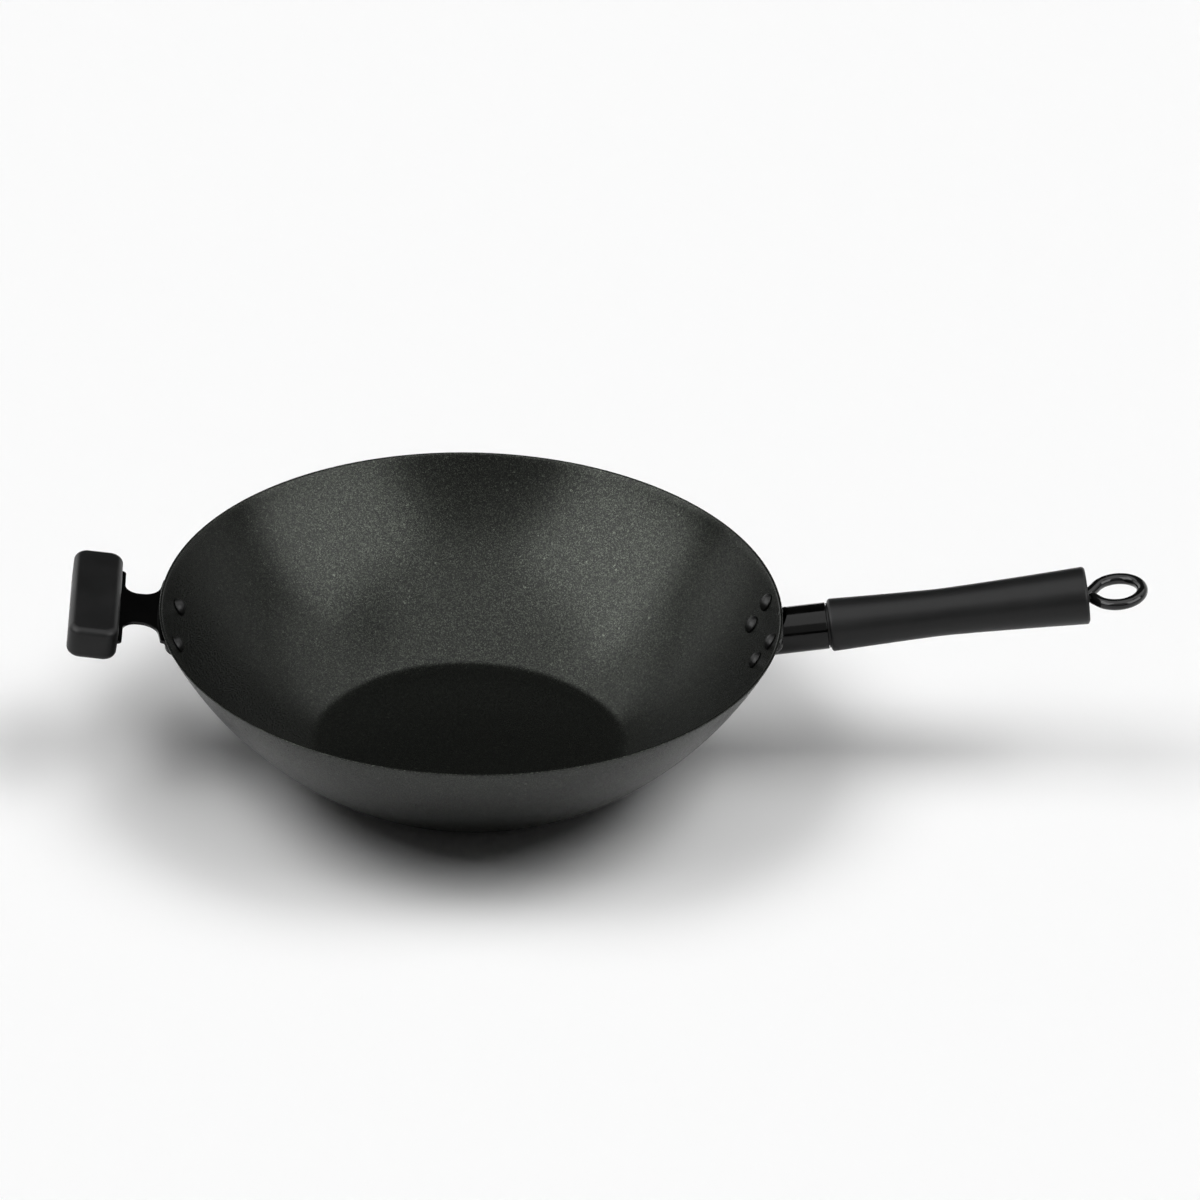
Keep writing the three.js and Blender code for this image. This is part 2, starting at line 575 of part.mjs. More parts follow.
function helperScrew(name, side) {
  const headRadius = SCREW_HEAD_DIAMETER / 2;
  const shankRadius = SCREW_DIAMETER / 2;
  const profile = [
    vec2(0, SCREW_SEAT - SCREW_HEAD_HEIGHT),
    vec2(headRadius, SCREW_SEAT - SCREW_HEAD_HEIGHT),
    vec2(headRadius, SCREW_SEAT),
    vec2(shankRadius, SCREW_SEAT),
    vec2(shankRadius, SCREW_TIP),
    vec2(0, SCREW_TIP),
  ];
  const mesh = piece(name, turnedAboutZ(profile, FASTENER_SIDES), FINISH.zincSteel);
  mesh.position.set(-SCREW_PLACE, side * SCREW_HALF_SPACING, 0);
  return mesh;
}

// Assembly

const wok = new THREE.Group();
wok.name = "nonstick_wok";
wok.add(wokBowl());
wok.add(handleSaddle(), handleSocket(), socketWeld());
handleRivetFrames.forEach((frame, i) => wok.add(rivet(`handle_rivet_${i + 1}`, frame, SADDLE_SHEET)));
handle.add(socketBulkhead(), boltNut(), handleGrip(), boltWasher(), loopBolt());
wok.add(handle);
wok.add(helperBracket());
helperRivetFrames.forEach((frame, i) => wok.add(rivet(`helper_rivet_${i + 1}`, frame, HELPER_SHEET)));
helper.add(helperGrip());
screwSides.forEach((side, i) => helper.add(helperScrew(`helper_screw_${i + 1}`, side)));
wok.add(helper);

export default wok;
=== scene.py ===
"""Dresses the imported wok: a spun bowl, a tube handle with a hanging loop, and a short helper handle.

Every length is in metres and every mesh lies in the part's own frame, +Z up and +X towards the long handle.
"""

from __future__ import annotations

import json
import logging
import math
from dataclasses import dataclass
from enum import Enum
from typing import Iterable, Sequence

import bmesh
import bpy
from mathutils import Matrix, Vector

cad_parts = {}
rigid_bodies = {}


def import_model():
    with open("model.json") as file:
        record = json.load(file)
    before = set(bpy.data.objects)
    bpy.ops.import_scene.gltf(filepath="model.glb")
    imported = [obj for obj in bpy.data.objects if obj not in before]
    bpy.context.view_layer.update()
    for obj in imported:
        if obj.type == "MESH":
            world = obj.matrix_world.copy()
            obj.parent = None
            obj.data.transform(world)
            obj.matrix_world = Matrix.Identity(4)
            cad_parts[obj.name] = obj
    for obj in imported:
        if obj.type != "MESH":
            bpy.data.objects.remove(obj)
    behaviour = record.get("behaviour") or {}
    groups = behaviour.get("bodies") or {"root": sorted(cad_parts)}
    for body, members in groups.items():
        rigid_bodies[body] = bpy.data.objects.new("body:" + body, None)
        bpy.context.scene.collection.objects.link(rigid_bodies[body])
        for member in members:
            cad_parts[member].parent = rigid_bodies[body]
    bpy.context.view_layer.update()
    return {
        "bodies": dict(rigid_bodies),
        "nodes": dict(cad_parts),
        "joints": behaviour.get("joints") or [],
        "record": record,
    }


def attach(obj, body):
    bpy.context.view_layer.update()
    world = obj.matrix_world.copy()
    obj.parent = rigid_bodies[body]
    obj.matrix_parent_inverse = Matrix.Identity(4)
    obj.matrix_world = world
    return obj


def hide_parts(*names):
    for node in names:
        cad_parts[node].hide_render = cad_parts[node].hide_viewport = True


LOG = logging.getLogger("wok")
SEAT_GAP = 0.0003
TOUCHING = 1e-6
SQUARE_EDGE = math.radians(60.0)
QUARTER_TURN = math.pi / 2.0
ORIGIN = (0.0, 0.0, 0.0)
BOTH_SIDES = (1.0, -1.0)
SOLVE_STEPS = 60
SOLVE_SHARE = 0.8
ROUND_STEPS = 3
FINE_ROUND_STEPS = 2
CORNER_STEPS = 8

Colour = tuple[float, float, float]
Stops = Sequence[tuple[float, Colour]]
Span = tuple[float, float]
Noise = tuple[float, ...]
Mesh = bmesh.types.BMesh
Edge = bmesh.types.BMEdge
Material = bpy.types.Material
Socket = bpy.types.NodeSocket
Patterns = tuple[Socket, Socket, Socket]


class Body(Enum):
    """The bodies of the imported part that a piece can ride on."""

    WOK = "wok"
    WASHER = "bolt_washer"
    LOOP = "loop_bolt"


class Slot(Enum):
    """The record's material slots."""

    COATING = "nonstick_coating"
    ENAMEL = "black_enamel"
    PHENOLIC = "phenolic"
    WIRE = "black_wire"
    ZINC = "zinc_steel"


class Rounded(Enum):
    """What a round is laid on."""

    EDGES = "EDGES"
    CORNERS = "VERTICES"


class Side(Enum):
    """The side of the bowl that a bracket is riveted to."""

    HANDLE = 1
    HELPER = -1


class NodeBoard:
    """One material's node tree, with short calls that add nodes and join them."""

    def __init__(self, name: str) -> None:
        """Starts a material with a principled shader and object coordinates.

        Args:
            name: The material's name.
        """
        self.material = bpy.data.materials.new(name)
        self.material.use_nodes = True
        self.tree = self.material.node_tree
        self.tree.nodes.clear()
        output = self.add("ShaderNodeOutputMaterial")
        shader = self.add("ShaderNodeBsdfPrincipled")
        self.shader = shader.inputs
        self.join(shader.outputs["BSDF"], output.inputs["Surface"])
        self.place = self.add("ShaderNodeTexCoord").outputs["Object"]

    def add(self, kind: str, values: dict[str, float] | None = None) -> bpy.types.Node:
        """Adds a node.

        Args:
            kind: The node's type.
            values: Inputs to set, by name.

        Returns:
            The node.
        """
        node = self.tree.nodes.new(kind)
        for name, value in (values or {}).items():
            node.inputs[name].default_value = value
        return node

    def join(self, source: Socket, target: Socket) -> None:
        """Links an output to an input."""
        self.tree.links.new(source, target)

    def noise(self, scale: float, detail: float, roughness: float = 0.5) -> Socket:
        """Adds a noise texture on object coordinates.

        Args:
            scale: Features per metre.
            detail: Octaves of finer noise.
            roughness: How strong the finer octaves are.

        Returns:
            The texture's value.
        """
        node = self.add("ShaderNodeTexNoise", {"Scale": scale, "Detail": detail, "Roughness": roughness})
        self.join(self.place, node.inputs["Vector"])
        return node.outputs["Fac"]

    def cells(self, scale: float) -> tuple[Socket, Socket]:
        """Adds random cells on object coordinates.

        Args:
            scale: Cells per metre.

        Returns:
            Two independent random values, each the same all over one cell.
        """
        node = self.add("ShaderNodeTexVoronoi", {"Scale": scale})
        self.join(self.place, node.inputs["Vector"])
        split = self.add("ShaderNodeSeparateColor")
        self.join(node.outputs["Color"], split.inputs["Color"])
        return split.outputs["Red"], split.outputs["Green"]

    def sum(self, first: Socket, second: Socket) -> Socket:
        """Adds two values up."""
        node = self.add("ShaderNodeMath")
        node.operation = "ADD"
        self.join(first, node.inputs[0])
        self.join(second, node.inputs[1])
        return node.outputs["Value"]

    def scaled(self, value: Socket, factor: float) -> Socket:
        """Multiplies a value by a number."""
        node = self.add("ShaderNodeMath")
        node.operation = "MULTIPLY"
        self.join(value, node.inputs[0])
        node.inputs[1].default_value = factor
        return node.outputs["Value"]

    def blend(self, first: Socket, second: Socket, share: float) -> Socket:
        """Mixes two values, where the first makes up a share."""
        return self.sum(self.scaled(first, share), self.scaled(second, 1.0 - share))

    def ramp(self, value: Socket, stops: Stops) -> Socket:
        """Turns a value into a colour.

        Args:
            value: The value to look up.
            stops: Places along the ramp, in order, each with its colour.

        Returns:
            The colour.
        """
        node = self.add("ShaderNodeValToRGB")
        elements = node.color_ramp.elements
        while len(elements) < len(stops):
            elements.new(1.0)
        for element, (place, colour) in zip(elements, stops):
            element.position = place
            element.color = (*colour, 1.0)
        self.join(value, node.inputs["Fac"])
        return node.outputs["Color"]

    def levels(self, value: Socket, span: Span, result: Span) -> Socket:
        """Maps a span of a value onto another span.

        Args:
            value: The value to map.
            span: Where its span starts and ends.
            result: What it becomes there.

        Returns:
            The mapped value.
        """
        ends = {"From Min": span[0], "From Max": span[1], "To Min": result[0], "To Max": result[1]}
        node = self.add("ShaderNodeMapRange", ends)
        self.join(value, node.inputs["Value"])
        return node.outputs["Result"]

    def bump(self, height: Socket, strength: float, distance: float) -> None:
        """Bends the shader's normal by a height.

        Args:
            height: The height value.
            strength: How much of the effect shows.
            distance: The height, in metres, of a value of one.
        """
        node = self.add("ShaderNodeBump", {"Strength": strength, "Distance": distance})
        self.join(height, node.inputs["Height"])
        self.join(node.outputs["Normal"], self.shader["Normal"])


@dataclass(frozen=True)
class Finish:
    """A procedural finish, whose patterns drive its colour, its roughness and its bump.

    Attributes:
        name: The material's name.
        colours: The colours along the first pattern.
        roughness: The roughness at the two ends of the wear.
        specular: The shader's specular level.
        relief: The bump's strength, and the height of a third pattern's value of one.
        wear: The span of the second pattern that counts.
    """

    name: str
    colours: Stops
    roughness: Span
    specular: float
    relief: Span
    wear: Span = (0.3, 0.7)

    def patterns(self, board: NodeBoard) -> Patterns:
        """Adds the patterns of the colour, the roughness and the height, in this order."""
        raise NotImplementedError

    def build(self) -> Material:
        """Makes the material."""
        board = NodeBoard(self.name)
        colour, wear, height = self.patterns(board)
        board.join(board.ramp(colour, self.colours), board.shader["Base Color"])
        board.join(board.levels(wear, self.wear, self.roughness), board.shader["Roughness"])
        board.shader["Specular IOR Level"].default_value = self.specular
        board.bump(height, *self.relief)
        return board.material


@dataclass(frozen=True)
class SpeckledCoating(Finish):
    """Dark grey nonstick coating with fine metallic flecks, rare specks and a slow drift in its gloss."""

    name: str = "speckled_nonstick_coating"
    colours: Stops = (
        (0.0, (0.0020, 0.0022, 0.0019)),
        (0.44, (0.0032, 0.0035, 0.0030)),
        (0.56, (0.0123, 0.0135, 0.0114)),
        (0.72, (0.0420, 0.0462, 0.0391)),
        (1.0, (0.1220, 0.1342, 0.1135)),
    )
    wear: Span = (0.25, 0.75)
    roughness: Span = (0.23, 0.33)
    specular: float = 0.24
    relief: Span = (0.10, 0.00005)
    fleck_cells: float = 2800.0
    fleck_share: float = 0.7
    fleck_onset: Span = (0.42, 0.60)
    fleck_metal: Span = (0.0, 0.9)
    speck_cells: float = 760.0
    speck_onset: Span = (0.994, 0.997)
    speck_lift: Span = (0.0, 0.22)
    grain: Noise = (2600.0, 2.0)
    drift: Noise = (9.0, 3.0)
    drift_share: float = 0.6

    def patterns(self, board: NodeBoard) -> Patterns:
        """Adds the flecks, the drift and the grain, and makes the flecks metallic."""
        fleck, tint = board.cells(self.fleck_cells)
        speck, _ = board.cells(self.speck_cells)
        grain = board.noise(*self.grain)
        drift = board.noise(*self.drift)
        specks = board.levels(speck, self.speck_onset, self.speck_lift)
        mixed = board.sum(board.blend(fleck, grain, self.fleck_share), specks)
        board.join(board.levels(mixed, self.fleck_onset, self.fleck_metal), board.shader["Metallic"])
        return mixed, board.blend(drift, tint, self.drift_share), board.sum(grain, fleck)


@dataclass(frozen=True)
class CoatedRivet(Finish):
    """The same coating drawn thin and smooth over a rivet's head, with hardly any flecks."""

    name: str = "thinly_coated_rivet"
    colours: Stops = ((0.3, (0.0018, 0.0019, 0.0018)), (0.7, (0.0042, 0.0044, 0.0041)))
    wear: Span = (0.2, 0.9)
    roughness: Span = (0.33, 0.43)
    specular: float = 0.31
    relief: Span = (0.12, 0.0001)
    flow: Noise = (700.0, 3.0)
    fleck_cells: float = 2200.0

    def patterns(self, board: NodeBoard) -> Patterns:
        """Adds the coat's flow and a few flecks."""
        flow = board.noise(*self.flow)
        fleck, _ = board.cells(self.fleck_cells)
        return flow, fleck, flow


@dataclass(frozen=True)
class BlackEnamel(Finish):
    """Gloss black enamel with the faint ripple of a dipped coat."""

    name: str = "gloss_black_enamel"
    colours: Stops = ((0.3, (0.0006, 0.0006, 0.0006)), (0.7, (0.0014, 0.0014, 0.0013)))
    roughness: Span = (0.07, 0.16)
    specular: float = 0.25
    relief: Span = (0.10, 0.0002)
    ripple: Noise = (230.0, 2.0)
    haze: Noise = (45.0, 4.0, 0.6)

    def patterns(self, board: NodeBoard) -> Patterns:
        """Adds the haze and the ripple."""
        ripple = board.noise(*self.ripple)
        haze = board.noise(*self.haze)
        return haze, haze, ripple


@dataclass(frozen=True)
class MouldedPhenolic(Finish):
    """Satin black moulded phenolic with a fine grain and a faint mottle from the press."""

    name: str = "satin_black_phenolic"
    colours: Stops = (
        (0.3, (0.0042, 0.0042, 0.0043)),
        (0.5, (0.0058, 0.0059, 0.0060)),
        (0.72, (0.0080, 0.0081, 0.0083)),
    )
    roughness: Span = (0.35, 0.47)
    specular: float = 0.27
    relief: Span = (0.14, 0.00012)
    grain: Noise = (1300.0, 3.0, 0.6)
    mottle: Noise = (38.0, 4.0, 0.55)
    mottle_share: float = 0.6

    def patterns(self, board: NodeBoard) -> Patterns:
        """Adds the mottle and the grain."""
        grain = board.noise(*self.grain)
        mixed = board.blend(board.noise(*self.mottle), grain, self.mottle_share)
        return mixed, mixed, grain


@dataclass(frozen=True)
class BlackedWire(Finish):
    """Gloss black steel wire, with the coat a little uneven along the bends."""

    name: str = "gloss_black_wire"
    colours: Stops = ((0.3, (0.0025, 0.0025, 0.0026)), (0.7, (0.0060, 0.0061, 0.0063)))
    roughness: Span = (0.08, 0.19)
    specular: float = 0.45
    relief: Span = (0.10, 0.0001)
    drag: Noise = (160.0, 3.0)
    pits: Noise = (900.0, 2.0)

    def patterns(self, board: NodeBoard) -> Patterns:
        """Adds the drag of the coat and its pits."""
        drag = board.noise(*self.drag)
        return drag, drag, board.noise(*self.pits)


@dataclass(frozen=True)
class ZincPlate(Finish):
    """Zinc-plated steel, slightly blue and unevenly dulled."""

    name: str = "zinc_plated_steel"
    colours: Stops = (
        (0.25, (0.40, 0.41, 0.42)),
        (0.6, (0.56, 0.57, 0.575)),
        (0.85, (0.66, 0.67, 0.66)),
    )
    wear: Span = (0.25, 0.8)
    roughness: Span = (0.28, 0.46)
    specular: float = 0.5
    relief: Span = (0.12, 0.0001)
    dulling: Noise = (420.0, 4.0, 0.6)
    dull_share: float = 0.65
    spangle_cells: float = 620.0

    def patterns(self, board: NodeBoard) -> Patterns:
        """Adds the dulling and the plating's spangle, and makes the shader metallic."""
        dull = board.noise(*self.dulling)
        spangle, _ = board.cells(self.spangle_cells)
        mixed = board.blend(dull, spangle, self.dull_share)
        board.shader["Metallic"].default_value = 1.0
        return mixed, mixed, dull


@dataclass(frozen=True)
class PaleFloor:
    """The plain white table that the wok stands on."""

    name: str = "pale_floor"
    colour: Colour = (0.97, 0.97, 0.97)
    roughness: float = 0.9

    def build(self) -> Material:
        """Makes the floor's material."""
        board = NodeBoard(self.name)
        board.shader["Base Color"].default_value = (*self.colour, 1.0)
        board.shader["Roughness"].default_value = self.roughness
        board.shader["Specular IOR Level"].default_value = 0.0
        return board.material


class Finishes:
    """The materials that the pieces share, made once."""

    def __init__(self) -> None:
        """Makes every material."""
        self.rivet_coat = CoatedRivet().build()
        self.by_slot: dict[Slot, Material] = {
            Slot.COATING: SpeckledCoating().build(),
            Slot.ENAMEL: BlackEnamel().build(),
            Slot.PHENOLIC: MouldedPhenolic().build(),
            Slot.WIRE: BlackedWire().build(),
            Slot.ZINC: ZincPlate().build(),
        }


class Turning:
    """A profile traced in the XZ plane, X its radius, that is then turned about the Z axis."""

    def __init__(self, *points: Span) -> None:
        """Starts the profile along straight lines through points, each a radius and a height."""
        self.mesh = bmesh.new()
        radius, height = points[0]
        self.tip = bmesh.ops.create_vert(self.mesh, co=(radius, 0.0, height))["vert"][0]
        self.path(*points[1:])

    def path(self, *points: Span) -> Turning:
        """Goes on in straight lines through points, and returns the profile."""
        for radius, height in points:
            self.tip = bmesh.ops.extrude_vert_indiv(self.mesh, verts=[self.tip])["verts"][0]
            step = Vector((radius, 0.0, height)) - self.tip.co
            bmesh.ops.translate(self.mesh, verts=[self.tip], vec=step)
        return self

    def arc(self, radius: float, height: float, angle: float, steps: int) -> Turning:
        """Goes on round a centre.

        Args:
            radius: The centre's distance from the axis.
            height: The centre's distance along the axis.
            angle: The angle to go, in radians, from +X towards +Z.
            steps: Straight pieces in the arc.

        Returns:
            The profile.
        """
        made = bmesh.ops.spin(
            self.mesh,
            geom=[self.tip],
            cent=(radius, 0.0, height),
            axis=(0.0, -1.0, 0.0),
            angle=angle,
            steps=steps,
        )
        self.tip = made["geom_last"][0]
        return self

    def turned(self, sides: int) -> Mesh:
        """Turns the profile all the way round.

        Args:
            sides: Faces round the axis.

        Returns:
            The closed mesh, facing outwards.
        """
        bmesh.ops.spin(
            self.mesh,
            geom=self.mesh.verts[:] + self.mesh.edges[:],
            cent=ORIGIN,
            axis=(0.0, 0.0, 1.0),
            angle=2.0 * math.pi,
            steps=sides,
            use_merge=True,
        )
        bmesh.ops.remove_doubles(self.mesh, verts=self.mesh.verts[:], dist=TOUCHING)
        bmesh.ops.recalc_face_normals(self.mesh, faces=self.mesh.faces[:])
        return self.mesh


def bevel(mesh: Mesh, geom: Iterable, width: float, steps: int, rounded: Rounded = Rounded.EDGES) -> None:
    """Rounds some edges of a mesh, or some corners of a flat outline.

    Args:
        mesh: The mesh to change.
        geom: The edges or the corner points.
        width: How far the round reaches.
        steps: Steps across the round.
        rounded: Whether they are edges or corners.
    """
    bmesh.ops.bevel(
        mesh,
        geom=list(geom),
        offset=width,
        offset_type="OFFSET",
        segments=steps,
        profile=0.5,
        affect=rounded.value,
        clamp_overlap=rounded is Rounded.EDGES,
        material=-1,
    )


def slice_across(mesh: Mesh, axis: int, places: Iterable[float]) -> None:
    """Cuts every face where it crosses some planes, and keeps both sides.

    Args:
        mesh: The mesh to change.
        axis: 0, 1 or 2 for planes across X, Y or Z.
        places: Where the planes lie along that axis.
    """
    normal = Vector(ORIGIN)
    normal[axis] = 1.0
    for place in places:
        geom = mesh.verts[:] + mesh.edges[:] + mesh.faces[:]
        bmesh.ops.bisect_plane(mesh, geom=geom, dist=TOUCHING, plane_co=normal * place, plane_no=normal)


def even_steps(start: float, end: float, count: int) -> list[float]:
    """Places strictly between two ends, evenly spaced."""
    return [start + (end - start) * (step + 1) / count for step in range(count - 1)]


def sharp_edges(mesh: Mesh, angle: float = SQUARE_EDGE) -> list[Edge]:
    """Edges where two faces meet at more than an angle, in radians."""
    return [edge for edge in mesh.edges if edge.is_manifold and edge.calc_face_angle(0.0) > angle]


def close_ends(mesh: Mesh) -> None:
    """Fills the open ends of a pipe and turns its faces outwards."""
    bmesh.ops.edgeloop_fill(mesh, edges=[edge for edge in mesh.edges if edge.is_boundary])
    bmesh.ops.recalc_face_normals(mesh, faces=mesh.faces[:])


def moved(mesh: Mesh, matrix: Matrix) -> Mesh:
    """Moves a whole mesh by a matrix, and returns it."""
    bmesh.ops.transform(mesh, matrix=matrix, verts=mesh.verts[:])
    return mesh


def add_box(mesh: Mesh, size: Sequence[float], centre: Sequence[float] = ORIGIN) -> None:
    """Adds a box to a mesh.

    Args:
        mesh: The mesh to add to.
        size: The box's lengths along X, Y and Z.
        centre: Where its middle lies.
    """
    corners = bmesh.ops.create_cube(mesh, size=1.0)["verts"]
    bmesh.ops.scale(mesh, vec=size, verts=corners)
    bmesh.ops.translate(mesh, vec=centre, verts=corners)


def linked(name: str, data: bpy.types.ID) -> bpy.types.Object:
    """Adds an object with its data to the scene."""
    made = bpy.data.objects.new(name, data)
    bpy.context.scene.collection.objects.link(made)
    return made


def meshed(name: str, mesh: Mesh) -> bpy.types.Object:
    """Adds an object to the scene from a mesh, which is used up."""
    data = bpy.data.meshes.new(name)
    mesh.to_mesh(data)
    mesh.free()
    return linked(name, data)


def carved(mesh: Mesh, tools: Mesh) -> Mesh:
    """Cuts closed tools out of a closed mesh.

    Args:
        mesh: The mesh to cut, which is used up.
        tools: The tools, which are used up.

    Returns:
        What is left of the mesh.
    """
    blank, cutter = meshed("carved_blank", mesh), meshed("carving_tools", tools)
    cut = blank.modifiers.new("cut", "BOOLEAN")
    cut.operation = "DIFFERENCE"
    cut.solver = "EXACT"
    cut.object = cutter
    bpy.context.view_layer.update()
    result = bmesh.new()
    result.from_object(blank, bpy.context.evaluated_depsgraph_get())
    for holder in (blank, cutter):
        data = holder.data
        bpy.data.objects.remove(holder)
        bpy.data.meshes.remove(data)
    return result


@dataclass
class Workshop:
    """Turns finished meshes into pieces of the object."""

    finishes: Finishes
    nodes: dict[str, bpy.types.Object]

    def piece(
        self,
        name: str,
        mesh: Mesh,
        slot: Slot,
        replaced: Sequence[str],
        body: Body = Body.WOK,
        crease: float = 38.0,
    ) -> bpy.types.Object:
        """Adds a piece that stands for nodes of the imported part.

        Args:
            name: The piece's name.
            mesh: Its mesh, in the part's frame, which is used up.
            slot: The record's slot that its finish comes from.
            replaced: The nodes that it stands for.
            body: The body that it rides on.
            crease: Edges sharper than this, in degrees, stay sharp.

        Returns:
            The piece.
        """
        made = meshed(name, mesh)
        data = made.data
        data.shade_smooth()
        data.set_sharp_from_angle(angle=math.radians(crease))
        data.materials.append(self.finishes.by_slot[slot])
        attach(made, body.value)
        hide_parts(*replaced)
        LOG.info("%s: %d faces in %s", name, len(data.polygons), slot.value)
        return made

    def dress(self, node: str, slot: Slot) -> None:
        """Gives a node that keeps its own shape a material.

        Args:
            node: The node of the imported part.
            slot: The slot that its finish comes from.
        """
        data = self.nodes[node].data
        data.materials.clear()
        data.materials.append(self.finishes.by_slot[slot])
        LOG.info("%s: kept, in %s", node, slot.value)


@dataclass
class Bowl:
    """The spun steel bowl: a flat floor, a round corner and a wall that is one arc up to the rim."""

    rim_radius: float = 0.1778
    height: float = 0.09525
    base_radius: float = 0.0889
    wall_radius: float = 0.224
    corner_radius: float = 0.018
    sheet: float = 0.0016
    lip_round: float = 0.00072
    lip_steps: int = 5
    sides: int = 288
    wall_steps: int = 30
    corner_steps: int = 9
    crease: float = 50.0

    def wall_centre(self) -> Vector:
        """The centre of the wall's arc, as (radius, height)."""
        chord = Vector((self.rim_radius - self.base_radius, self.height))
        middle = Vector((self.rim_radius + self.base_radius, self.height)) / 2.0
        inward = Vector((-chord.y, chord.x)).normalized()
        return middle + inward * math.sqrt(self.wall_radius**2 - chord.length_squared / 4.0)

    def wall_at(self, depth: float, offset: float = 0.0) -> tuple[float, float, float]:
        """Finds a place on the wall.

        Args:
            depth: Distance along the wall's outer face below the rim.
            offset: Distance outside the outer face.

        Returns:
            The radius, the height and the wall's slope there, in radians from the level.
        """
        centre = self.wall_centre()
        slope = math.acos((centre.y - self.height) / self.wall_radius) - depth / self.wall_radius
        reach = self.wall_radius + offset
        return centre.x + reach * math.sin(slope), centre.y - reach * math.cos(slope), slope

    def outside(self, point: Vector) -> float:
        """How far a point lies outside the wall's outer face."""
        centre = self.wall_centre()
        reach = math.hypot(math.hypot(point.x, point.y) - centre.x, point.z - centre.y)
        return reach - self.wall_radius

    def drop_on(self, point: Vector, direction: Vector, offset: float) -> Vector:
        """Slides a point along a direction until it lies at a distance outside the wall.

        Args:
            point: Where it starts.
            direction: The way to slide, of unit length and roughly outwards.
            offset: The distance outside the wall to reach.

        Returns:
            The place reached.
        """
        place = point.copy()
        for _ in range(SOLVE_STEPS):
            place += direction * (offset - self.outside(place)) * SOLVE_SHARE
        return place

    def frame_on_wall(self, depth: float, across: float, side: Side) -> Matrix:
        """Makes a frame on the wall's outer face, its Z pointing out of the wall and its Y along the rim.

        Args:
            depth: Distance along the wall below the rim.
            across: Distance sideways from the handles' upright plane.
            side: The handle's side or the helper's.

        Returns:
            The frame.
        """
        radius, height, slope = self.wall_at(depth)
        turn = math.asin(across / radius)
        heading = turn if side is Side.HANDLE else math.pi - turn
        return (
            Matrix.Translation((radius * math.cos(heading), radius * math.sin(heading), height))
            @ Matrix.Rotation(heading, 4, "Z")
            @ Matrix.Rotation(math.pi - slope, 4, "Y")
        )

    def shell(self) -> Mesh:
        """Spins the bowl's wall and floor, and rounds the lip."""
        centre = self.wall_centre()
        rise = centre.y - self.corner_radius
        reach = math.sqrt((self.wall_radius - self.corner_radius) ** 2 - rise**2)
        corner = Vector((centre.x + reach, self.corner_radius))
        corner_end = math.atan2(-rise, reach)
        rim = math.asin((self.height - centre.y) / self.wall_radius)
        inner_wall = self.wall_radius - self.sheet
        inner_rim = math.asin((self.height - centre.y) / inner_wall)
        corner_turn = corner_end + QUARTER_TURN
        profile = Turning((0.0, 0.0), (corner.x, 0.0))
        profile.arc(corner.x, corner.y, corner_turn, self.corner_steps)
        profile.arc(centre.x, centre.y, rim - corner_end, self.wall_steps)
        profile.path((centre.x + inner_wall * math.cos(inner_rim), self.height))
        profile.arc(centre.x, centre.y, corner_end - inner_rim, self.wall_steps)
        profile.arc(corner.x, corner.y, -corner_turn, self.corner_steps)
        profile.path((0.0, self.sheet))
        mesh = profile.turned(self.sides)
        top = self.height - TOUCHING
        lip = [e for e in mesh.edges if all(v.co.z > top for v in e.verts)]
        loops = [e for e in lip if abs(e.verts[0].co.xy.length - e.verts[1].co.xy.length) < TOUCHING]
        bevel(mesh, loops, self.lip_round, self.lip_steps)
        return mesh

    def build(self, shop: Workshop) -> None:
        """Adds the bowl."""
        shop.piece("bowl_shell", self.shell(), Slot.COATING, ["wok_bowl"], crease=self.crease)


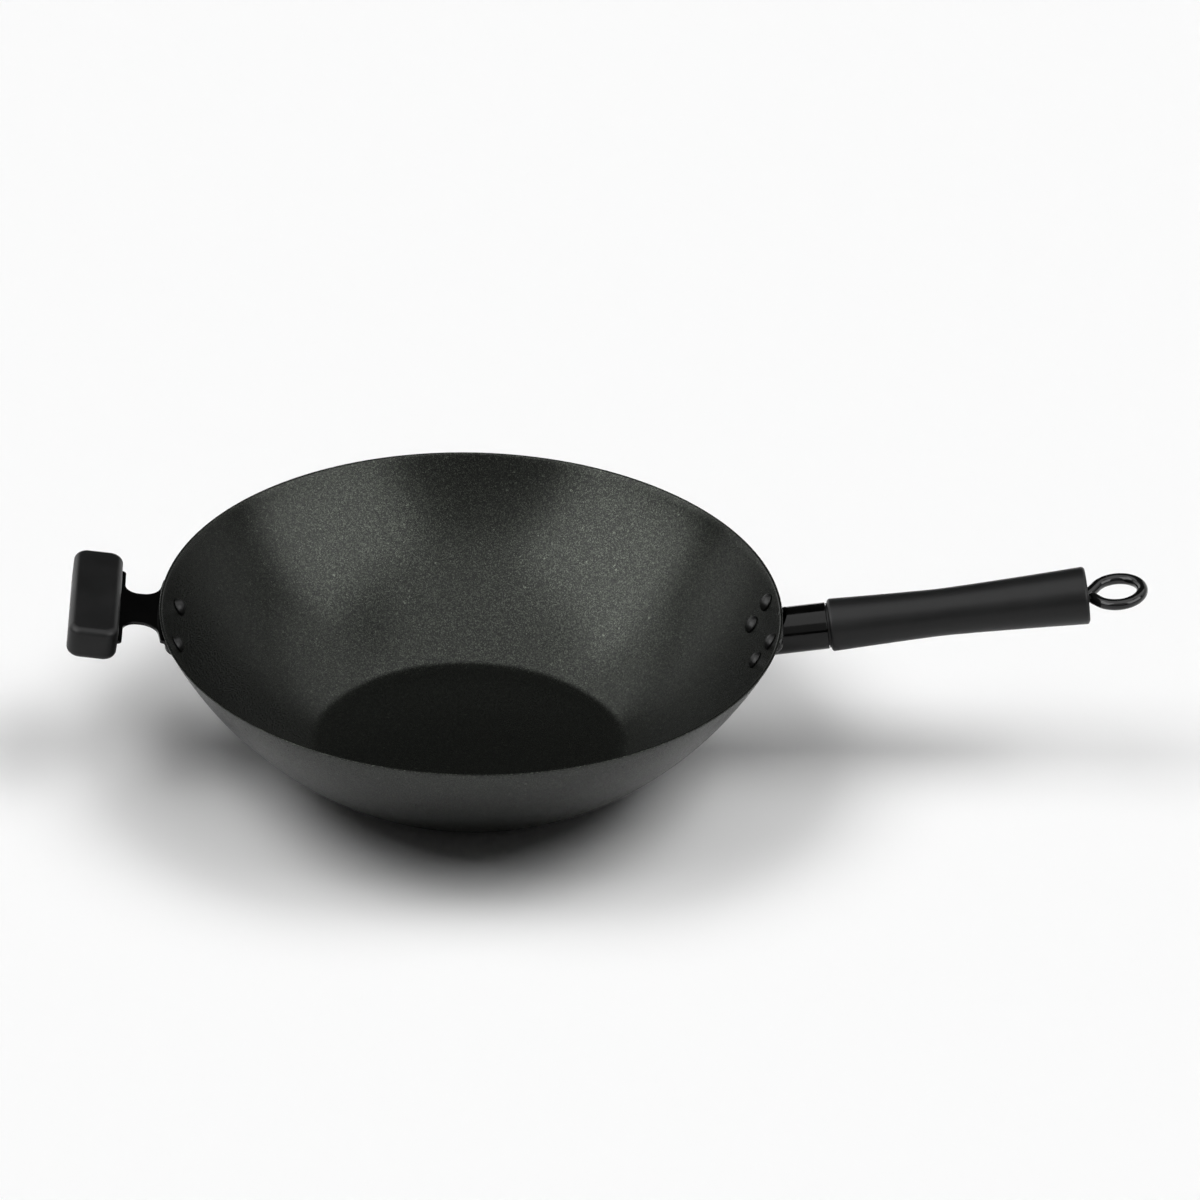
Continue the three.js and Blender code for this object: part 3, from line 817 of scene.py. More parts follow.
@dataclass
class Rivets:
    """Domed rivets through the bowl's wall and a bracket, in rows of two.

    Each row is its depth along the wall below the rim, and its rivets' distance from the middle.
    """

    bowl: Bowl
    side: Side
    prefix: str
    rows: Sequence[Span]
    bracket_sheet: float
    shank_radius: float = 0.0025
    head_radius: float = 0.00475
    inner_radius: float = 0.0053
    inner_height: float = 0.0033
    outer_height: float = 0.0032
    land: float = 0.0004
    edge_round: float = 0.00018
    edge_angle: float = math.radians(40.0)
    dome_steps: int = 10
    sides: int = 40

    def dome(
        self, profile: Turning, seat: float, radius: float, height: float, outward: int, from_crown: bool
    ) -> None:
        """Traces a domed head with a short straight land at its edge.

        Args:
            profile: The rivet's profile so far.
            seat: Where the head's flat side lies along the rivet.
            radius: The head's radius.
            height: The head's height.
            outward: 1 if the head points along the rivet, -1 if against it.
            from_crown: Whether the trace runs from the crown to the edge, or back.
        """
        rise = height - self.land
        sphere = (radius**2 + rise**2) / (2.0 * rise)
        half = math.asin(radius / sphere)
        centre = seat + outward * (height - sphere)
        if from_crown:
            profile.arc(0.0, centre, -outward * half, self.dome_steps).path((radius, seat))
        else:
            profile.path((radius, seat), (radius, seat + outward * self.land))
            profile.arc(0.0, centre, outward * half, self.dome_steps)

    def rivet(self) -> Mesh:
        """Turns one rivet, its middle line on Z and the wall's outer face at zero."""
        inner_seat = -self.bowl.sheet - SEAT_GAP
        outer_seat = 2.0 * SEAT_GAP + self.bracket_sheet
        profile = Turning((0.0, inner_seat - self.inner_height))
        self.dome(profile, inner_seat, self.inner_radius, self.inner_height, -1, True)
        profile.path((self.shank_radius, inner_seat), (self.shank_radius, outer_seat))
        self.dome(profile, outer_seat, self.head_radius, self.outer_height, 1, False)
        mesh = profile.turned(self.sides)
        reach = (self.shank_radius + self.head_radius) / 2.0
        rims = [e for e in sharp_edges(mesh, self.edge_angle) if e.verts[0].co.xy.length > reach]
        bevel(mesh, rims, self.edge_round, FINE_ROUND_STEPS)
        return mesh

    def build(self, shop: Workshop) -> None:
        """Adds every rivet of the bracket."""
        places = [(depth, side * across) for depth, across in self.rows for side in BOTH_SIDES]
        for number, (depth, across) in enumerate(places, 1):
            name = f"{self.prefix}_{number}"
            mesh = moved(self.rivet(), self.bowl.frame_on_wall(depth, across, self.side))
            made = shop.piece(f"{name}_domed", mesh, Slot.COATING, [name])
            made.data.materials[0] = shop.finishes.rivet_coat


@dataclass
class LongHandle:
    """The long handle: a riveted saddle, a tube, a turned grip and the bolt that clamps it.

    Places along the handle are distances from the bowl's wall.
    """

    bowl: Bowl
    depth: float = 0.0179
    rise: float = math.radians(8.3)
    rivet_rows: Sequence[Span] = ((0.0107, 0.0218), (0.0267, 0.0197))
    saddle_sheet: float = 0.002
    saddle_height: float = 0.030
    saddle_width: float = 0.0576
    saddle_corner: float = 0.006
    saddle_depth: float = 0.0187
    saddle_round: float = 0.00045
    saddle_steps: tuple[int, int] = (16, 28)
    tube_radius: float = 0.0134
    tube_wall: float = 0.0015
    tube_length: float = 0.0348
    tube_round: float = 0.0004
    tube_sides: int = 96
    cope_ring: float = 0.004
    cope_shift: float = 0.002
    weld_radius: float = 0.001116
    weld_seat: float = 0.75
    weld_sides: int = 14
    weld_steps: int = 72
    weld_crease: float = 60.0
    ripples: float = 17.0
    ripple_depth: float = 0.12
    ripple_power: float = 0.6
    grip_front: float = 0.0359
    grip_length: float = 0.1484
    front_radius: float = 0.0152
    waist_radius: float = 0.01355
    rear_radius: float = 0.0166
    waist_place: float = 0.063
    swell_power: float = 1.3
    grip_edge: float = 0.0020
    grip_steps: int = 48
    grip_sides: int = 128
    edge_steps: int = 6
    spigot_end: float = 0.0229
    spigot_radius: float = 0.0116
    collar_radius: float = 0.0129
    bolt_radius: float = 0.0032
    bolt_hole: float = 0.0035
    bolt_end: float = 0.012
    bolt_round: float = 0.0006
    bolt_sides: int = 32
    loop_radius: float = 0.01412
    loop_offset: float = 0.0174
    loop_opening: float = math.radians(35.0)
    loop_steps: int = 96
    neck_radius: float = 0.005
    neck_steps: int = 14
    end_leg: float = 0.0066
    washer_radius: float = 0.0062
    washer_back: float = 0.1804
    washer_face: float = 0.1816
    washer_round: float = 0.00016
    washer_sides: int = 64
    seat_radius: float = 0.0065
    seat_chamfer: float = 0.0005

    @property
    def grip_rear(self) -> float:
        """Where the grip's rear face lies along the handle."""
        return self.grip_front + self.grip_length

    def axis(self) -> Vector:
        """The direction that the handle leaves the bowl in."""
        return Vector((math.cos(self.rise), 0.0, math.sin(self.rise)))

    def frame(self) -> Matrix:
        """The handle's frame on the wall, its X along the handle and its Y level."""
        radius, height, _ = self.bowl.wall_at(self.depth)
        return Matrix.Translation((radius, 0.0, height)) @ Matrix.Rotation(-self.rise, 4, "Y")

    def turned_on_axis(self, profile: Turning, sides: int) -> Mesh:
        """Turns a profile, whose heights are distances along the handle, round the handle's axis."""
        return moved(profile.turned(sides), self.frame() @ Matrix.Rotation(QUARTER_TURN, 4, "Y"))

    def saddle(self) -> Mesh:
        """Presses a plate with round corners onto the bowl's wall."""
        mesh = bmesh.new()
        bmesh.ops.create_grid(mesh, x_segments=1, y_segments=1, size=0.5)
        size = (self.saddle_height, self.saddle_width, 1.0)
        bmesh.ops.scale(mesh, vec=size, verts=mesh.verts[:])
        bevel(mesh, mesh.verts[:], self.saddle_corner, CORNER_STEPS, Rounded.CORNERS)
        for axis, steps in enumerate(self.saddle_steps):
            slice_across(mesh, axis, even_steps(-size[axis] / 2.0, size[axis] / 2.0, steps))
        frame = self.bowl.frame_on_wall(self.saddle_depth, 0.0, Side.HANDLE)
        moved(mesh, frame)
        outwards = frame.col[2].xyz
        for vertex in mesh.verts:
            vertex.co = self.bowl.drop_on(vertex.co, outwards, SEAT_GAP + self.saddle_sheet)
        mesh.normal_update()
        if sum(face.normal.dot(outwards) for face in mesh.faces) < 0.0:
            bmesh.ops.reverse_faces(mesh, faces=mesh.faces[:])
        bmesh.ops.solidify(mesh, geom=mesh.faces[:], thickness=self.saddle_sheet)
        bevel(mesh, sharp_edges(mesh), self.saddle_round, ROUND_STEPS)
        return mesh

    def tube(self) -> Mesh:
        """Turns the tube and copes its inner end to the saddle."""
        outer, inner = self.tube_radius, self.tube_radius - self.tube_wall
        ring, end = self.cope_ring, self.tube_length
        walls = [(outer, 0.0), (outer, ring), (outer, end), (inner, end), (inner, ring), (inner, 0.0)]
        mesh = self.turned_on_axis(Turning(walls[-1], *walls), self.tube_sides)
        origin, axis = self.frame().translation, self.axis()
        along = {vertex: (vertex.co - origin).dot(axis) for vertex in mesh.verts}
        mouth = [e for e in sharp_edges(mesh) if min(along[v] for v in e.verts) > 2.0 * ring]
        offset = 2.0 * SEAT_GAP + self.saddle_sheet
        for vertex, place in along.items():
            if place < 2.0 * ring:
                shift = self.cope_shift if place > ring / 2.0 else 0.0
                vertex.co = self.bowl.drop_on(vertex.co, axis, offset) + axis * shift
        bevel(mesh, mouth, self.tube_round, ROUND_STEPS)
        return mesh

    def weld(self) -> Mesh:
        """Lays a rippled bead round the lower half of the tube, where it meets the saddle."""
        mesh = bmesh.new()
        seat = self.weld_radius * self.weld_seat
        middle = self.tube_radius + SEAT_GAP + seat
        ring = bmesh.ops.create_circle(mesh, segments=self.weld_sides, radius=self.weld_radius)["verts"]
        bmesh.ops.rotate(mesh, cent=ORIGIN, matrix=Matrix.Rotation(QUARTER_TURN, 3, "Z"), verts=ring)
        bmesh.ops.translate(mesh, vec=(0.0, middle, 0.0), verts=ring)
        bmesh.ops.spin(
            mesh,
            geom=mesh.verts[:] + mesh.edges[:],
            cent=ORIGIN,
            axis=(1.0, 0.0, 0.0),
            angle=-math.pi,
            steps=self.weld_steps,
        )
        close_ends(mesh)
        for vertex in mesh.verts:
            angle = math.atan2(vertex.co.z, vertex.co.y)
            ridge = abs(math.sin(angle * self.ripples)) ** self.ripple_power
            core = Vector((0.0, math.cos(angle), math.sin(angle))) * middle
            vertex.co = core + (vertex.co - core) * (1.0 - self.ripple_depth * (1.0 - ridge))
        moved(mesh, self.frame())
        origin, axis = self.frame().translation, self.axis()
        offset = 2.0 * SEAT_GAP + self.saddle_sheet + seat
        for vertex in mesh.verts:
            along = (vertex.co - origin).dot(axis)
            radial = vertex.co - origin - axis * along
            place = self.bowl.drop_on(origin + radial.normalized() * middle, axis, offset)
            vertex.co += axis * (place - origin).dot(axis)
        return mesh

    def grip_radius(self, distance: float) -> float:
        """The grip's radius at a distance behind its front shoulder."""
        ahead = distance < self.waist_place
        span = self.waist_place if ahead else self.grip_length - self.waist_place
        end = self.front_radius if ahead else self.rear_radius
        share = abs(distance - self.waist_place) / span
        return self.waist_radius + (end - self.waist_radius) * share**self.swell_power

    def grip(self) -> Mesh:
        """Turns the waisted grip, with the spigot at its front and the washer's seat at its rear."""
        edge, front, rear = self.grip_edge, self.grip_front, self.grip_rear
        front_edge = self.grip_radius(edge) - edge
        rear_edge = self.grip_radius(self.grip_length - edge) - edge
        collar, seat = self.tube_length + SEAT_GAP, self.washer_back - SEAT_GAP
        profile = Turning(
            (self.bolt_hole, self.spigot_end),
            (self.spigot_radius, self.spigot_end),
            (self.spigot_radius, collar),
            (self.collar_radius, collar),
            (self.collar_radius, front),
            (front_edge, front),
        )
        profile.arc(front_edge, front + edge, QUARTER_TURN, self.edge_steps)
        steps = even_steps(edge, self.grip_length - edge, self.grip_steps)
        profile.path(*((self.grip_radius(step), front + step) for step in steps))
        profile.path((rear_edge + edge, rear - edge))
        profile.arc(rear_edge, rear - edge, QUARTER_TURN, self.edge_steps)
        profile.path(
            (self.seat_radius + self.seat_chamfer, rear),
            (self.seat_radius, rear - self.seat_chamfer),
            (self.seat_radius, seat),
            (self.bolt_hole, seat),
            (self.bolt_hole, self.spigot_end),
        )
        return self.turned_on_axis(profile, self.grip_sides)

    def washer(self) -> Mesh:
        """Turns the washer under the loop's neck."""
        radius, hole = self.washer_radius, self.bolt_hole
        back, face = self.washer_back, self.washer_face
        profile = Turning((hole, back), (radius, back), (radius, face), (hole, face), (hole, back))
        mesh = self.turned_on_axis(profile, self.washer_sides)
        bevel(mesh, sharp_edges(mesh), self.washer_round, FINE_ROUND_STEPS)
        return mesh

    def loop_bolt(self) -> Mesh:
        """Draws the wire: a straight shank, a bent neck, the hanging loop and its free end."""
        mesh = bmesh.new()
        ring = bmesh.ops.create_circle(mesh, segments=self.bolt_sides, radius=self.bolt_radius)["verts"]
        bmesh.ops.rotate(mesh, cent=ORIGIN, matrix=Matrix.Rotation(QUARTER_TURN, 3, "Y"), verts=ring)
        bmesh.ops.translate(mesh, vec=(self.bolt_end, 0.0, 0.0), verts=ring)
        tip: list = mesh.verts[:] + mesh.edges[:]
        opening, bend = self.loop_opening, QUARTER_TURN - self.loop_opening
        centre = self.grip_rear + self.loop_offset
        tangent = self.neck_radius * math.tan(bend / 2.0)
        neck_start = centre - self.loop_radius / math.cos(opening) - tangent
        tip = self.drawn(mesh, tip, Vector((neck_start - self.bolt_end, 0.0, 0.0)))
        tip = self.bent(mesh, tip, Vector((neck_start, self.neck_radius, 0.0)), bend, self.neck_steps)
        lead = self.loop_radius * math.tan(opening) - tangent
        tip = self.drawn(mesh, tip, Vector((math.sin(opening), math.cos(opening), 0.0)) * lead)
        around = 2.0 * (math.pi - opening)
        tip = self.bent(mesh, tip, Vector((centre, 0.0, 0.0)), -around, self.loop_steps)
        self.drawn(mesh, tip, Vector((-math.sin(opening), math.cos(opening), 0.0)) * self.end_leg)
        close_ends(mesh)
        bevel(mesh, sharp_edges(mesh), self.bolt_round, ROUND_STEPS)
        return moved(mesh, self.frame())

    def drawn(self, mesh: Mesh, tip: list, step: Vector) -> list:
        """Draws the wire on in a straight line.

        Args:
            mesh: The wire so far.
            tip: The open ring at its end.
            step: The way to go.

        Returns:
            The new open ring.
        """
        made = bmesh.ops.extrude_edge_only(mesh, edges=[e for e in tip if isinstance(e, Edge)])["geom"]
        ring = [item for item in made if isinstance(item, bmesh.types.BMVert)]
        bmesh.ops.translate(mesh, vec=step, verts=ring)
        return ring + [e for e in made if isinstance(e, Edge) and all(v in ring for v in e.verts)]

    def bent(self, mesh: Mesh, tip: list, centre: Vector, angle: float, steps: int) -> list:
        """Bends the wire on round a centre in the loop's plane, leftwards if the angle is positive."""
        made = bmesh.ops.spin(mesh, geom=tip, cent=centre, axis=(0.0, 0.0, 1.0), angle=angle, steps=steps)
        return [item for item in made["geom_last"] if not isinstance(item, bmesh.types.BMFace)]

    def build(self, shop: Workshop) -> None:
        """Adds the handle's pieces."""
        shop.piece("saddle_plate", self.saddle(), Slot.ENAMEL, ["handle_saddle"])
        shop.piece("socket_tube", self.tube(), Slot.ENAMEL, ["handle_socket"])
        shop.piece("weld_bead", self.weld(), Slot.ENAMEL, ["socket_weld"], crease=self.weld_crease)
        shop.dress("socket_bulkhead", Slot.ZINC)
        shop.dress("bolt_nut", Slot.ZINC)
        shop.piece("turned_grip", self.grip(), Slot.PHENOLIC, ["handle_grip"])
        shop.piece("neck_washer", self.washer(), Slot.ZINC, ["bolt_washer"], Body.WASHER)
        shop.piece("hanging_loop", self.loop_bolt(), Slot.WIRE, ["loop_bolt"], Body.LOOP)


@dataclass
class HelperHandle:
    """The helper handle: a bent plate riveted under the rim, whose tee end lies in a block grip.

    Places along the plate are distances outwards from the rim.
    """

    bowl: Bowl
    rivet_rows: Sequence[Span] = ((0.0171, 0.0206),)
    sheet: float = 0.0018
    drop: float = 0.004
    rise: float = math.radians(7.0)
    bend_radius: float = 0.003
    bend_steps: int = 6
    flange_half_width: float = 0.0335
    flange_stand_off: float = 0.0014
    flange_depth: float = 0.026
    flange_corner: float = 0.005
    shoulder_corner: float = 0.0012
    neck_half_width: float = 0.0156
    bowl_fillet: float = 0.009
    grip_fillet: float = 0.008
    tee_half_length: float = 0.0387
    tee_corner: float = 0.003
    tee_stand_off: float = 0.020
    tee_end: float = 0.0364
    tee_insertion: float = 0.014
    wrap_end: float = 0.015
    wrap_length: float = 0.012
    plate_round: float = 0.0004
    plate_steps: tuple[int, int] = (10, 24)
    grip_face: float = 0.0224
    grip_size: tuple[float, float, float] = (0.0282, 0.0906, 0.0196)
    grip_corner: float = 0.008
    grip_corner_steps: int = 12
    grip_edge: float = 0.0041
    grip_edge_steps: int = 8
    grip_crease: float = 30.0
    screw_radius: float = 0.002
    screw_point: float = 0.0012
    screw_tip_radius: float = 0.0006
    screw_head_radius: float = 0.0037
    screw_head_height: float = 0.0026
    screw_head_round: float = 0.0009
    screw_head_steps: int = 6
    screw_half_spacing: float = 0.024
    screw_recess: float = 0.001
    screw_reach: float = 0.005
    screw_sides: int = 40
    bore_sides: int = 48
    cross_length: float = 0.0036
    cross_width: float = 0.0009
    cross_depth: float = 0.0012

    @property
    def level(self) -> float:
        """The height of the plate's middle surface under the rim."""
        return self.bowl.height - self.drop - self.sheet / 2.0

    def frame(self) -> Matrix:
        """The plate's frame at the rim, its X running out along the plate and its Z up."""
        turned_about = Matrix.Rotation(self.rise, 4, "Y") @ Matrix.Rotation(math.pi, 4, "Z")
        return Matrix.Translation((-self.bowl.rim_radius, 0.0, self.level)) @ turned_about

    def fold(self) -> tuple[float, float, float]:
        """Finds where the plate bends down onto the wall.

        Returns:
            The bend's start along the plate, the wall's depth where the bend ends, and the angle bent.
        """
        depth = self.drop
        for _ in range(SOLVE_STEPS):
            radius, height, slope = self.bowl.wall_at(depth, SEAT_GAP + self.sheet / 2.0)
            plate = self.level + (radius - self.bowl.rim_radius) * math.tan(self.rise)
            depth += (height - plate) * SOLVE_SHARE
        turn = slope - self.rise
        tangent = self.bend_radius * math.tan(turn / 2.0)
        start = (radius - self.bowl.rim_radius) / math.cos(self.rise) + tangent
        return start, depth + tangent, turn

    def bent_place(self, along: float, across: float) -> Vector:
        """Finds where a point of the flat plate lies once the plate is bent and wrapped round the bowl.

        Args:
            along: Distance outwards from the rim along the flat plate.
            across: Distance sideways.

        Returns:
            The place of the plate's middle surface.
        """
        start, wall_depth, turn = self.fold()
        past = start - along
        if past < self.bend_radius * turn:
            straight = max(along, start)
            angle = max(0.0, past) / self.bend_radius
            radius = self.bowl.rim_radius + straight * math.cos(self.rise)
            height = self.level + straight * math.sin(self.rise)
            radius -= self.bend_radius * (math.sin(self.rise + angle) - math.sin(self.rise))
            height -= self.bend_radius * (math.cos(self.rise) - math.cos(self.rise + angle))
        else:
            depth = wall_depth + past - self.bend_radius * turn
            radius, height, _ = self.bowl.wall_at(depth, SEAT_GAP + self.sheet / 2.0)
        wrap = min(1.0, max(0.0, (self.wrap_end - along) / self.wrap_length))
        wrap = wrap * wrap * (3.0 - 2.0 * wrap)
        hollow = radius - math.sqrt(radius * radius - across * across)
        return Vector((-(radius - hollow * wrap), across, height))

    def bracket(self) -> Mesh:
        """Cuts the plate's outline, bends it and gives it its thickness."""
        mesh = bmesh.new()
        start, wall_depth, turn = self.fold()
        bent = self.bend_radius * turn
        low = start - bent - (self.flange_depth - wall_depth)
        wide, neck, tee = self.flange_half_width, self.neck_half_width, self.tee_half_length
        shoulder, edge, end = self.flange_stand_off, self.tee_stand_off, self.tee_end
        half = [(low, wide), (shoulder, wide), (shoulder, neck), (edge, neck), (edge, tee), (end, tee)]
        outline = half + [(along, -across) for along, across in reversed(half)]
        corners = [bmesh.ops.create_vert(mesh, co=(x, y, 0.0))["vert"][0] for x, y in outline]
        rim = [mesh.edges.new((corner, corners[index - 1])) for index, corner in enumerate(corners)]
        bmesh.ops.edgeloop_fill(mesh, edges=rim)
        fillets = (self.shoulder_corner, self.bowl_fillet, self.grip_fillet)
        for index, radius in enumerate((self.flange_corner, *fillets, self.tee_corner)):
            pair = (corners[index], corners[-1 - index])
            bevel(mesh, pair, radius, CORNER_STEPS, Rounded.CORNERS)
        lengthwise, crosswise = self.plate_steps
        slice_across(mesh, 0, even_steps(low, start - bent, lengthwise))
        slice_across(mesh, 0, [start - bent * step / self.bend_steps for step in range(self.bend_steps + 1)])
        slice_across(mesh, 0, even_steps(start, edge, lengthwise))
        slice_across(mesh, 1, even_steps(-wide, wide, crosswise))
        for vertex in mesh.verts:
            vertex.co = self.bent_place(vertex.co.x, vertex.co.y)
        bmesh.ops.recalc_face_normals(mesh, faces=mesh.faces[:])
        mesh.normal_update()
        if sum(face.normal.z * face.calc_area() for face in mesh.faces) < 0.0:
            bmesh.ops.reverse_faces(mesh, faces=mesh.faces[:])
        mesh.normal_update()
        lifted = {vertex: vertex.co + vertex.normal * self.sheet / 2.0 for vertex in mesh.verts}
        for vertex, place in lifted.items():
            vertex.co = place
        bmesh.ops.solidify(mesh, geom=mesh.faces[:], thickness=self.sheet)
        bevel(mesh, sharp_edges(mesh), self.plate_round, ROUND_STEPS)
        return mesh

    def screw_places(self) -> list[Vector]:
        """Where the two screws cross the plate's middle, in the plate's frame."""
        along = self.grip_face + self.tee_insertion / 2.0
        return [Vector((along, -side * self.screw_half_spacing, 0.0)) for side in BOTH_SIDES]

    def grip(self) -> Mesh:
        """Rounds the block grip, and cuts the plate's slot and the screws' counterbores."""
        mesh = bmesh.new()
        add_box(mesh, self.grip_size)
        upright = [e for e in mesh.edges if abs(e.verts[0].co.z - e.verts[1].co.z) > TOUCHING]
        bevel(mesh, upright, self.grip_corner, self.grip_corner_steps)
        rims = [e for e in sharp_edges(mesh) if abs(e.verts[0].co.z - e.verts[1].co.z) < TOUCHING]
        bevel(mesh, rims, self.grip_edge, self.grip_edge_steps)
        middle = self.grip_face + self.grip_size[0] / 2.0
        bmesh.ops.translate(mesh, vec=(middle, 0.0, 0.0), verts=mesh.verts[:])
        return moved(carved(mesh, self.grip_tools()), self.frame())

    def grip_tools(self) -> Mesh:
        """Makes the slot's cutter and the counterbores' cutters."""
        tools = bmesh.new()
        depth = 2.0 * (self.tee_insertion + SEAT_GAP)
        size = (depth, 2.0 * (self.tee_half_length + SEAT_GAP), self.sheet + 2.0 * SEAT_GAP)
        add_box(tools, size, (self.grip_face, 0.0, 0.0))
        radius = self.screw_head_radius + SEAT_GAP
        deep = 2.0 * (self.screw_recess + self.screw_head_height + SEAT_GAP)
        under = Vector((0.0, 0.0, -self.grip_size[2] / 2.0))
        for place in self.screw_places():
            bore = bmesh.ops.create_cone(
                tools, cap_ends=True, segments=self.bore_sides, radius1=radius, radius2=radius, depth=deep
            )["verts"]
            bmesh.ops.translate(tools, vec=place + under, verts=bore)
        return tools

    def screw(self, place: Vector) -> Mesh:
        """Turns a pan-head screw with a cross recess, pointing up into the grip.

        Args:
            place: Where it crosses the plate's middle, in the plate's frame.

        Returns:
            The screw, in the part's frame.
        """
        low = -self.grip_size[2] / 2.0 + self.screw_recess
        seat = low + self.screw_head_height
        tip = self.sheet / 2.0 + self.screw_reach
        head, shank, edge = self.screw_head_radius, self.screw_radius, self.screw_head_round
        profile = Turning((0.0, low), (head - edge, low))
        profile.arc(head - edge, low + edge, QUARTER_TURN, self.screw_head_steps)
        profile.path((head, seat), (shank, seat), (shank, tip - self.screw_point))
        profile.path((self.screw_tip_radius, tip), (0.0, tip))
        mesh = profile.turned(self.screw_sides)
        long, wide, deep = self.cross_length, self.cross_width, 2.0 * self.cross_depth
        for size in ((long, wide, deep), (wide, long, deep)):
            bar = bmesh.new()
            add_box(bar, size, (0.0, 0.0, low))
            mesh = carved(mesh, bar)
        bmesh.ops.translate(mesh, vec=place, verts=mesh.verts[:])
        return moved(mesh, self.frame())

    def build(self, shop: Workshop) -> None:
        """Adds the helper handle's pieces."""
        shop.piece("bent_bracket", self.bracket(), Slot.ENAMEL, ["helper_bracket"])
        shop.piece("block_grip", self.grip(), Slot.PHENOLIC, ["helper_grip"], crease=self.grip_crease)
        for number, place in enumerate(self.screw_places(), 1):
            shop.piece(f"cross_screw_{number}", self.screw(place), Slot.ZINC, [f"helper_screw_{number}"])


def towards(azimuth: float, elevation: float) -> Vector:
    """The unit vector of a direction in degrees, its azimuth counted from +X towards +Y."""
    around, up = math.radians(azimuth), math.radians(elevation)
    return Vector((math.cos(around) * math.cos(up), math.sin(around) * math.cos(up), math.sin(up)))


@dataclass(frozen=True)
class SoftBox:
    """A large panel that shows only in the gloss of the bowl and the handles."""

    name: str
    azimuth: float
    elevation: float
    width: float
    height: float
    level: float
    distance: float = 8.0

    def build(self, target: Vector) -> None:
        """Adds the panel.

        Args:
            target: The point that it faces.
        """
        lamp = bpy.data.lights.new(self.name, "AREA")
        lamp.shape = "RECTANGLE"
        lamp.size = self.width
        lamp.size_y = self.height
        lamp.energy = self.level * math.pi * self.width * self.height
        holder = linked(self.name, lamp)
        back = towards(self.azimuth, self.elevation)
        holder.location = target + back * self.distance
        holder.rotation_euler = back.to_track_quat("Z", "Y").to_euler()
        holder.visible_diffuse = False


@dataclass(frozen=True)
class DistantLight:
    """A soft lamp far away that lights the room and doesn't show in the gloss."""

    name: str
    azimuth: float
    elevation: float = 57.0
    spread: float = 34.0
    level: float = 0.215

    def build(self) -> None:
        """Adds the light, at the level that it gives the floor."""
        lamp = bpy.data.lights.new(self.name, "SUN")
        back = towards(self.azimuth, self.elevation)
        lamp.energy = self.level * math.pi / back.z
        lamp.angle = math.radians(self.spread)
        holder = linked(self.name, lamp)
        holder.rotation_euler = back.to_track_quat("Z", "Y").to_euler()
        holder.visible_glossy = False


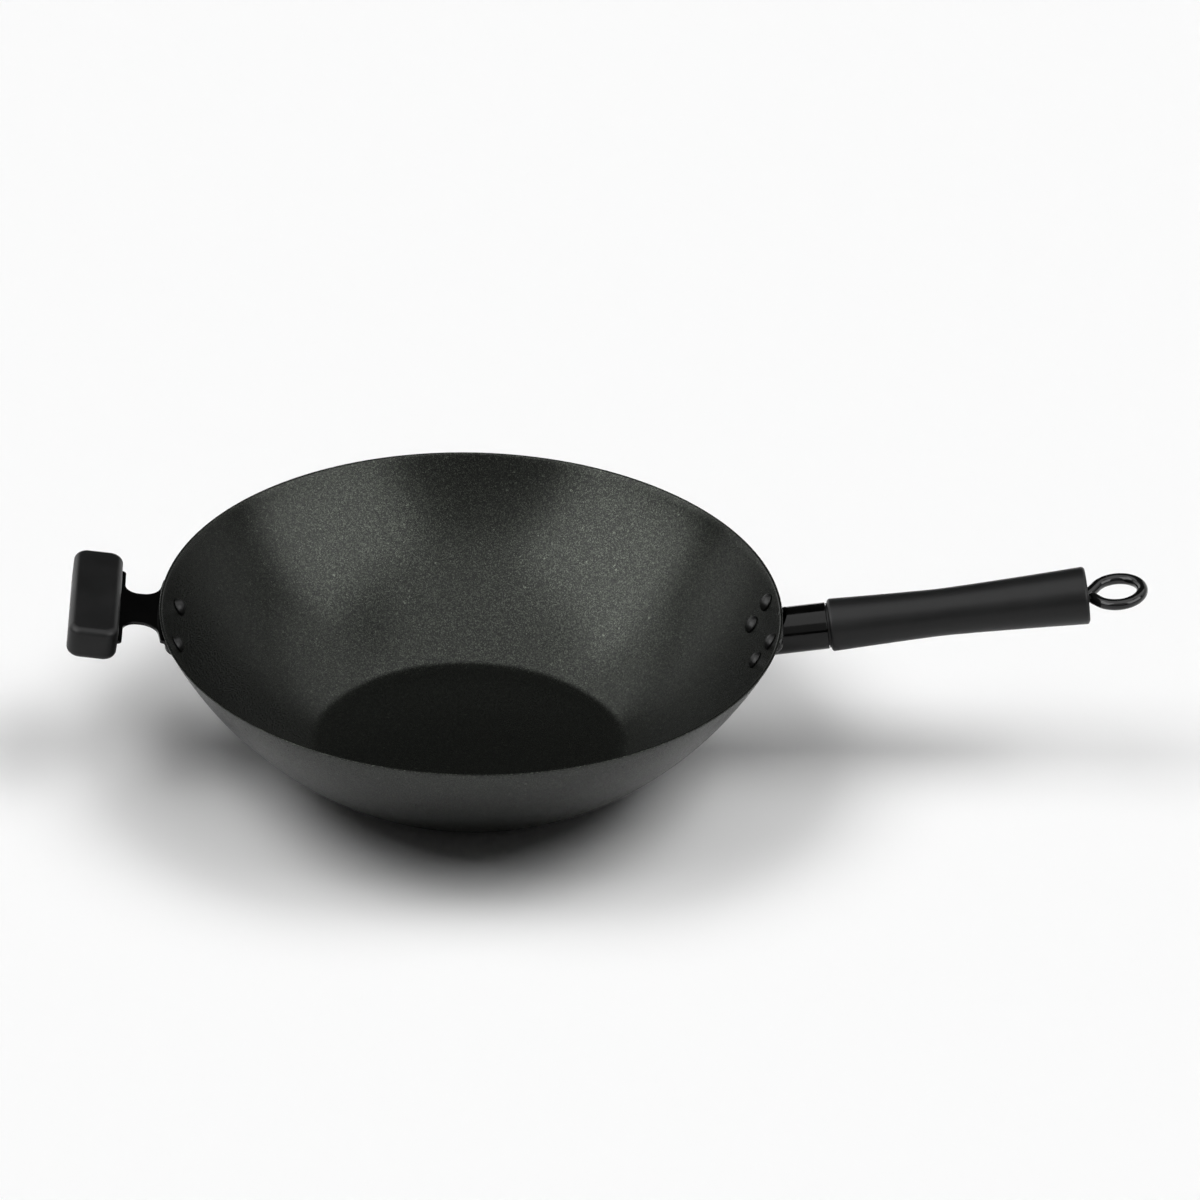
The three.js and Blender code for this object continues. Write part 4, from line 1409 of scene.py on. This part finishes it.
@dataclass
class Studio:
    """The camera, the pale floor, the lights and the panels that show in the gloss."""

    azimuth: float = -0.0500986
    elevation: float = 0.5421895
    roll: float = 0.0338688
    camera_place: tuple[float, float, float] = (-0.0749, -2.9523, 1.8810)
    sensor: float = 36.0
    lens: float = 181.63
    clip_end: float = 100.0
    floor_half: float = 12.0
    world_level: float = 0.025
    target: tuple[float, float, float] = (0.0, 0.0, 0.06)
    panels: Sequence[SoftBox] = (
        SoftBox("right_front_panel", -30.0, 32.0, 7.8, 5.4, 3.4),
        SoftBox("left_front_panel", -158.0, 36.0, 7.8, 6.0, 3.75),
        SoftBox("front_panel", -92.0, 30.0, 7.0, 5.0, 0.4),
        SoftBox("left_back_panel", 136.0, 12.0, 9.4, 3.6, 1.3),
        SoftBox("right_back_panel", 38.0, 13.0, 9.4, 3.6, 0.7),
        SoftBox("ceiling_panel", -90.0, 79.0, 8.6, 9.6, 1.65),
        SoftBox("left_high_panel", 149.0, 46.0, 5.0, 5.0, 1.6),
        SoftBox("right_high_panel", 31.0, 46.0, 5.0, 5.0, 1.35),
    )
    lights: Sequence[DistantLight] = (
        DistantLight("right_front_light", -14.0),
        DistantLight("right_back_light", 14.0),
        DistantLight("left_front_light", 194.0),
        DistantLight("left_back_light", 166.0),
        DistantLight("front_light", -90.0, elevation=70.0, spread=36.0, level=0.11),
    )

    def camera(self) -> None:
        """Adds the camera at the photograph's viewing angle."""
        data = bpy.data.cameras.new("camera")
        data.sensor_width = self.sensor
        data.lens = self.lens
        data.clip_end = self.clip_end
        holder = linked("camera", data)
        flat, rise = math.cos(self.elevation), math.sin(self.elevation)
        back = Vector((math.sin(self.azimuth) * flat, -math.cos(self.azimuth) * flat, rise))
        right = (-back).cross(Vector((0.0, 0.0, 1.0))).normalized()
        up = right.cross(-back)
        turn = Matrix.Rotation(self.roll, 3, back)
        axes = Matrix((turn @ right, turn @ up, back)).transposed()
        holder.matrix_world = Matrix.Translation(self.camera_place) @ axes.to_4x4()
        bpy.context.scene.camera = holder

    def floor(self) -> None:
        """Adds the floor that the wok stands on."""
        mesh = bmesh.new()
        bmesh.ops.create_grid(mesh, x_segments=1, y_segments=1, size=self.floor_half)
        floor = meshed("floor", mesh)
        floor.data.materials.append(PaleFloor().build())

    def world(self) -> None:
        """Fills the room with plain grey light."""
        world = bpy.data.worlds.new("room")
        world.use_nodes = True
        background = world.node_tree.nodes["Background"]
        background.inputs["Color"].default_value = (1.0, 1.0, 1.0, 1.0)
        background.inputs["Strength"].default_value = self.world_level
        bpy.context.scene.world = world

    def build(self) -> None:
        """Sets up the whole studio."""
        self.camera()
        self.floor()
        self.world()
        for panel in self.panels:
            panel.build(Vector(self.target))
        for light in self.lights:
            light.build()
        bpy.context.scene.view_settings.view_transform = "Standard"


def main() -> None:
    """Builds the studio and the dressed wok."""
    logging.basicConfig(level=logging.INFO, format="%(name)s: %(message)s")
    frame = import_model()
    Studio().build()
    shop = Workshop(Finishes(), frame["nodes"])
    bowl = Bowl()
    handle = LongHandle(bowl)
    helper = HelperHandle(bowl)
    bowl.build(shop)
    Rivets(bowl, Side.HANDLE, "handle_rivet", handle.rivet_rows, handle.saddle_sheet).build(shop)
    handle.build(shop)
    helper.build(shop)
    Rivets(bowl, Side.HELPER, "helper_rivet", helper.rivet_rows, helper.sheet).build(shop)


if __name__ == "__main__":
    main()
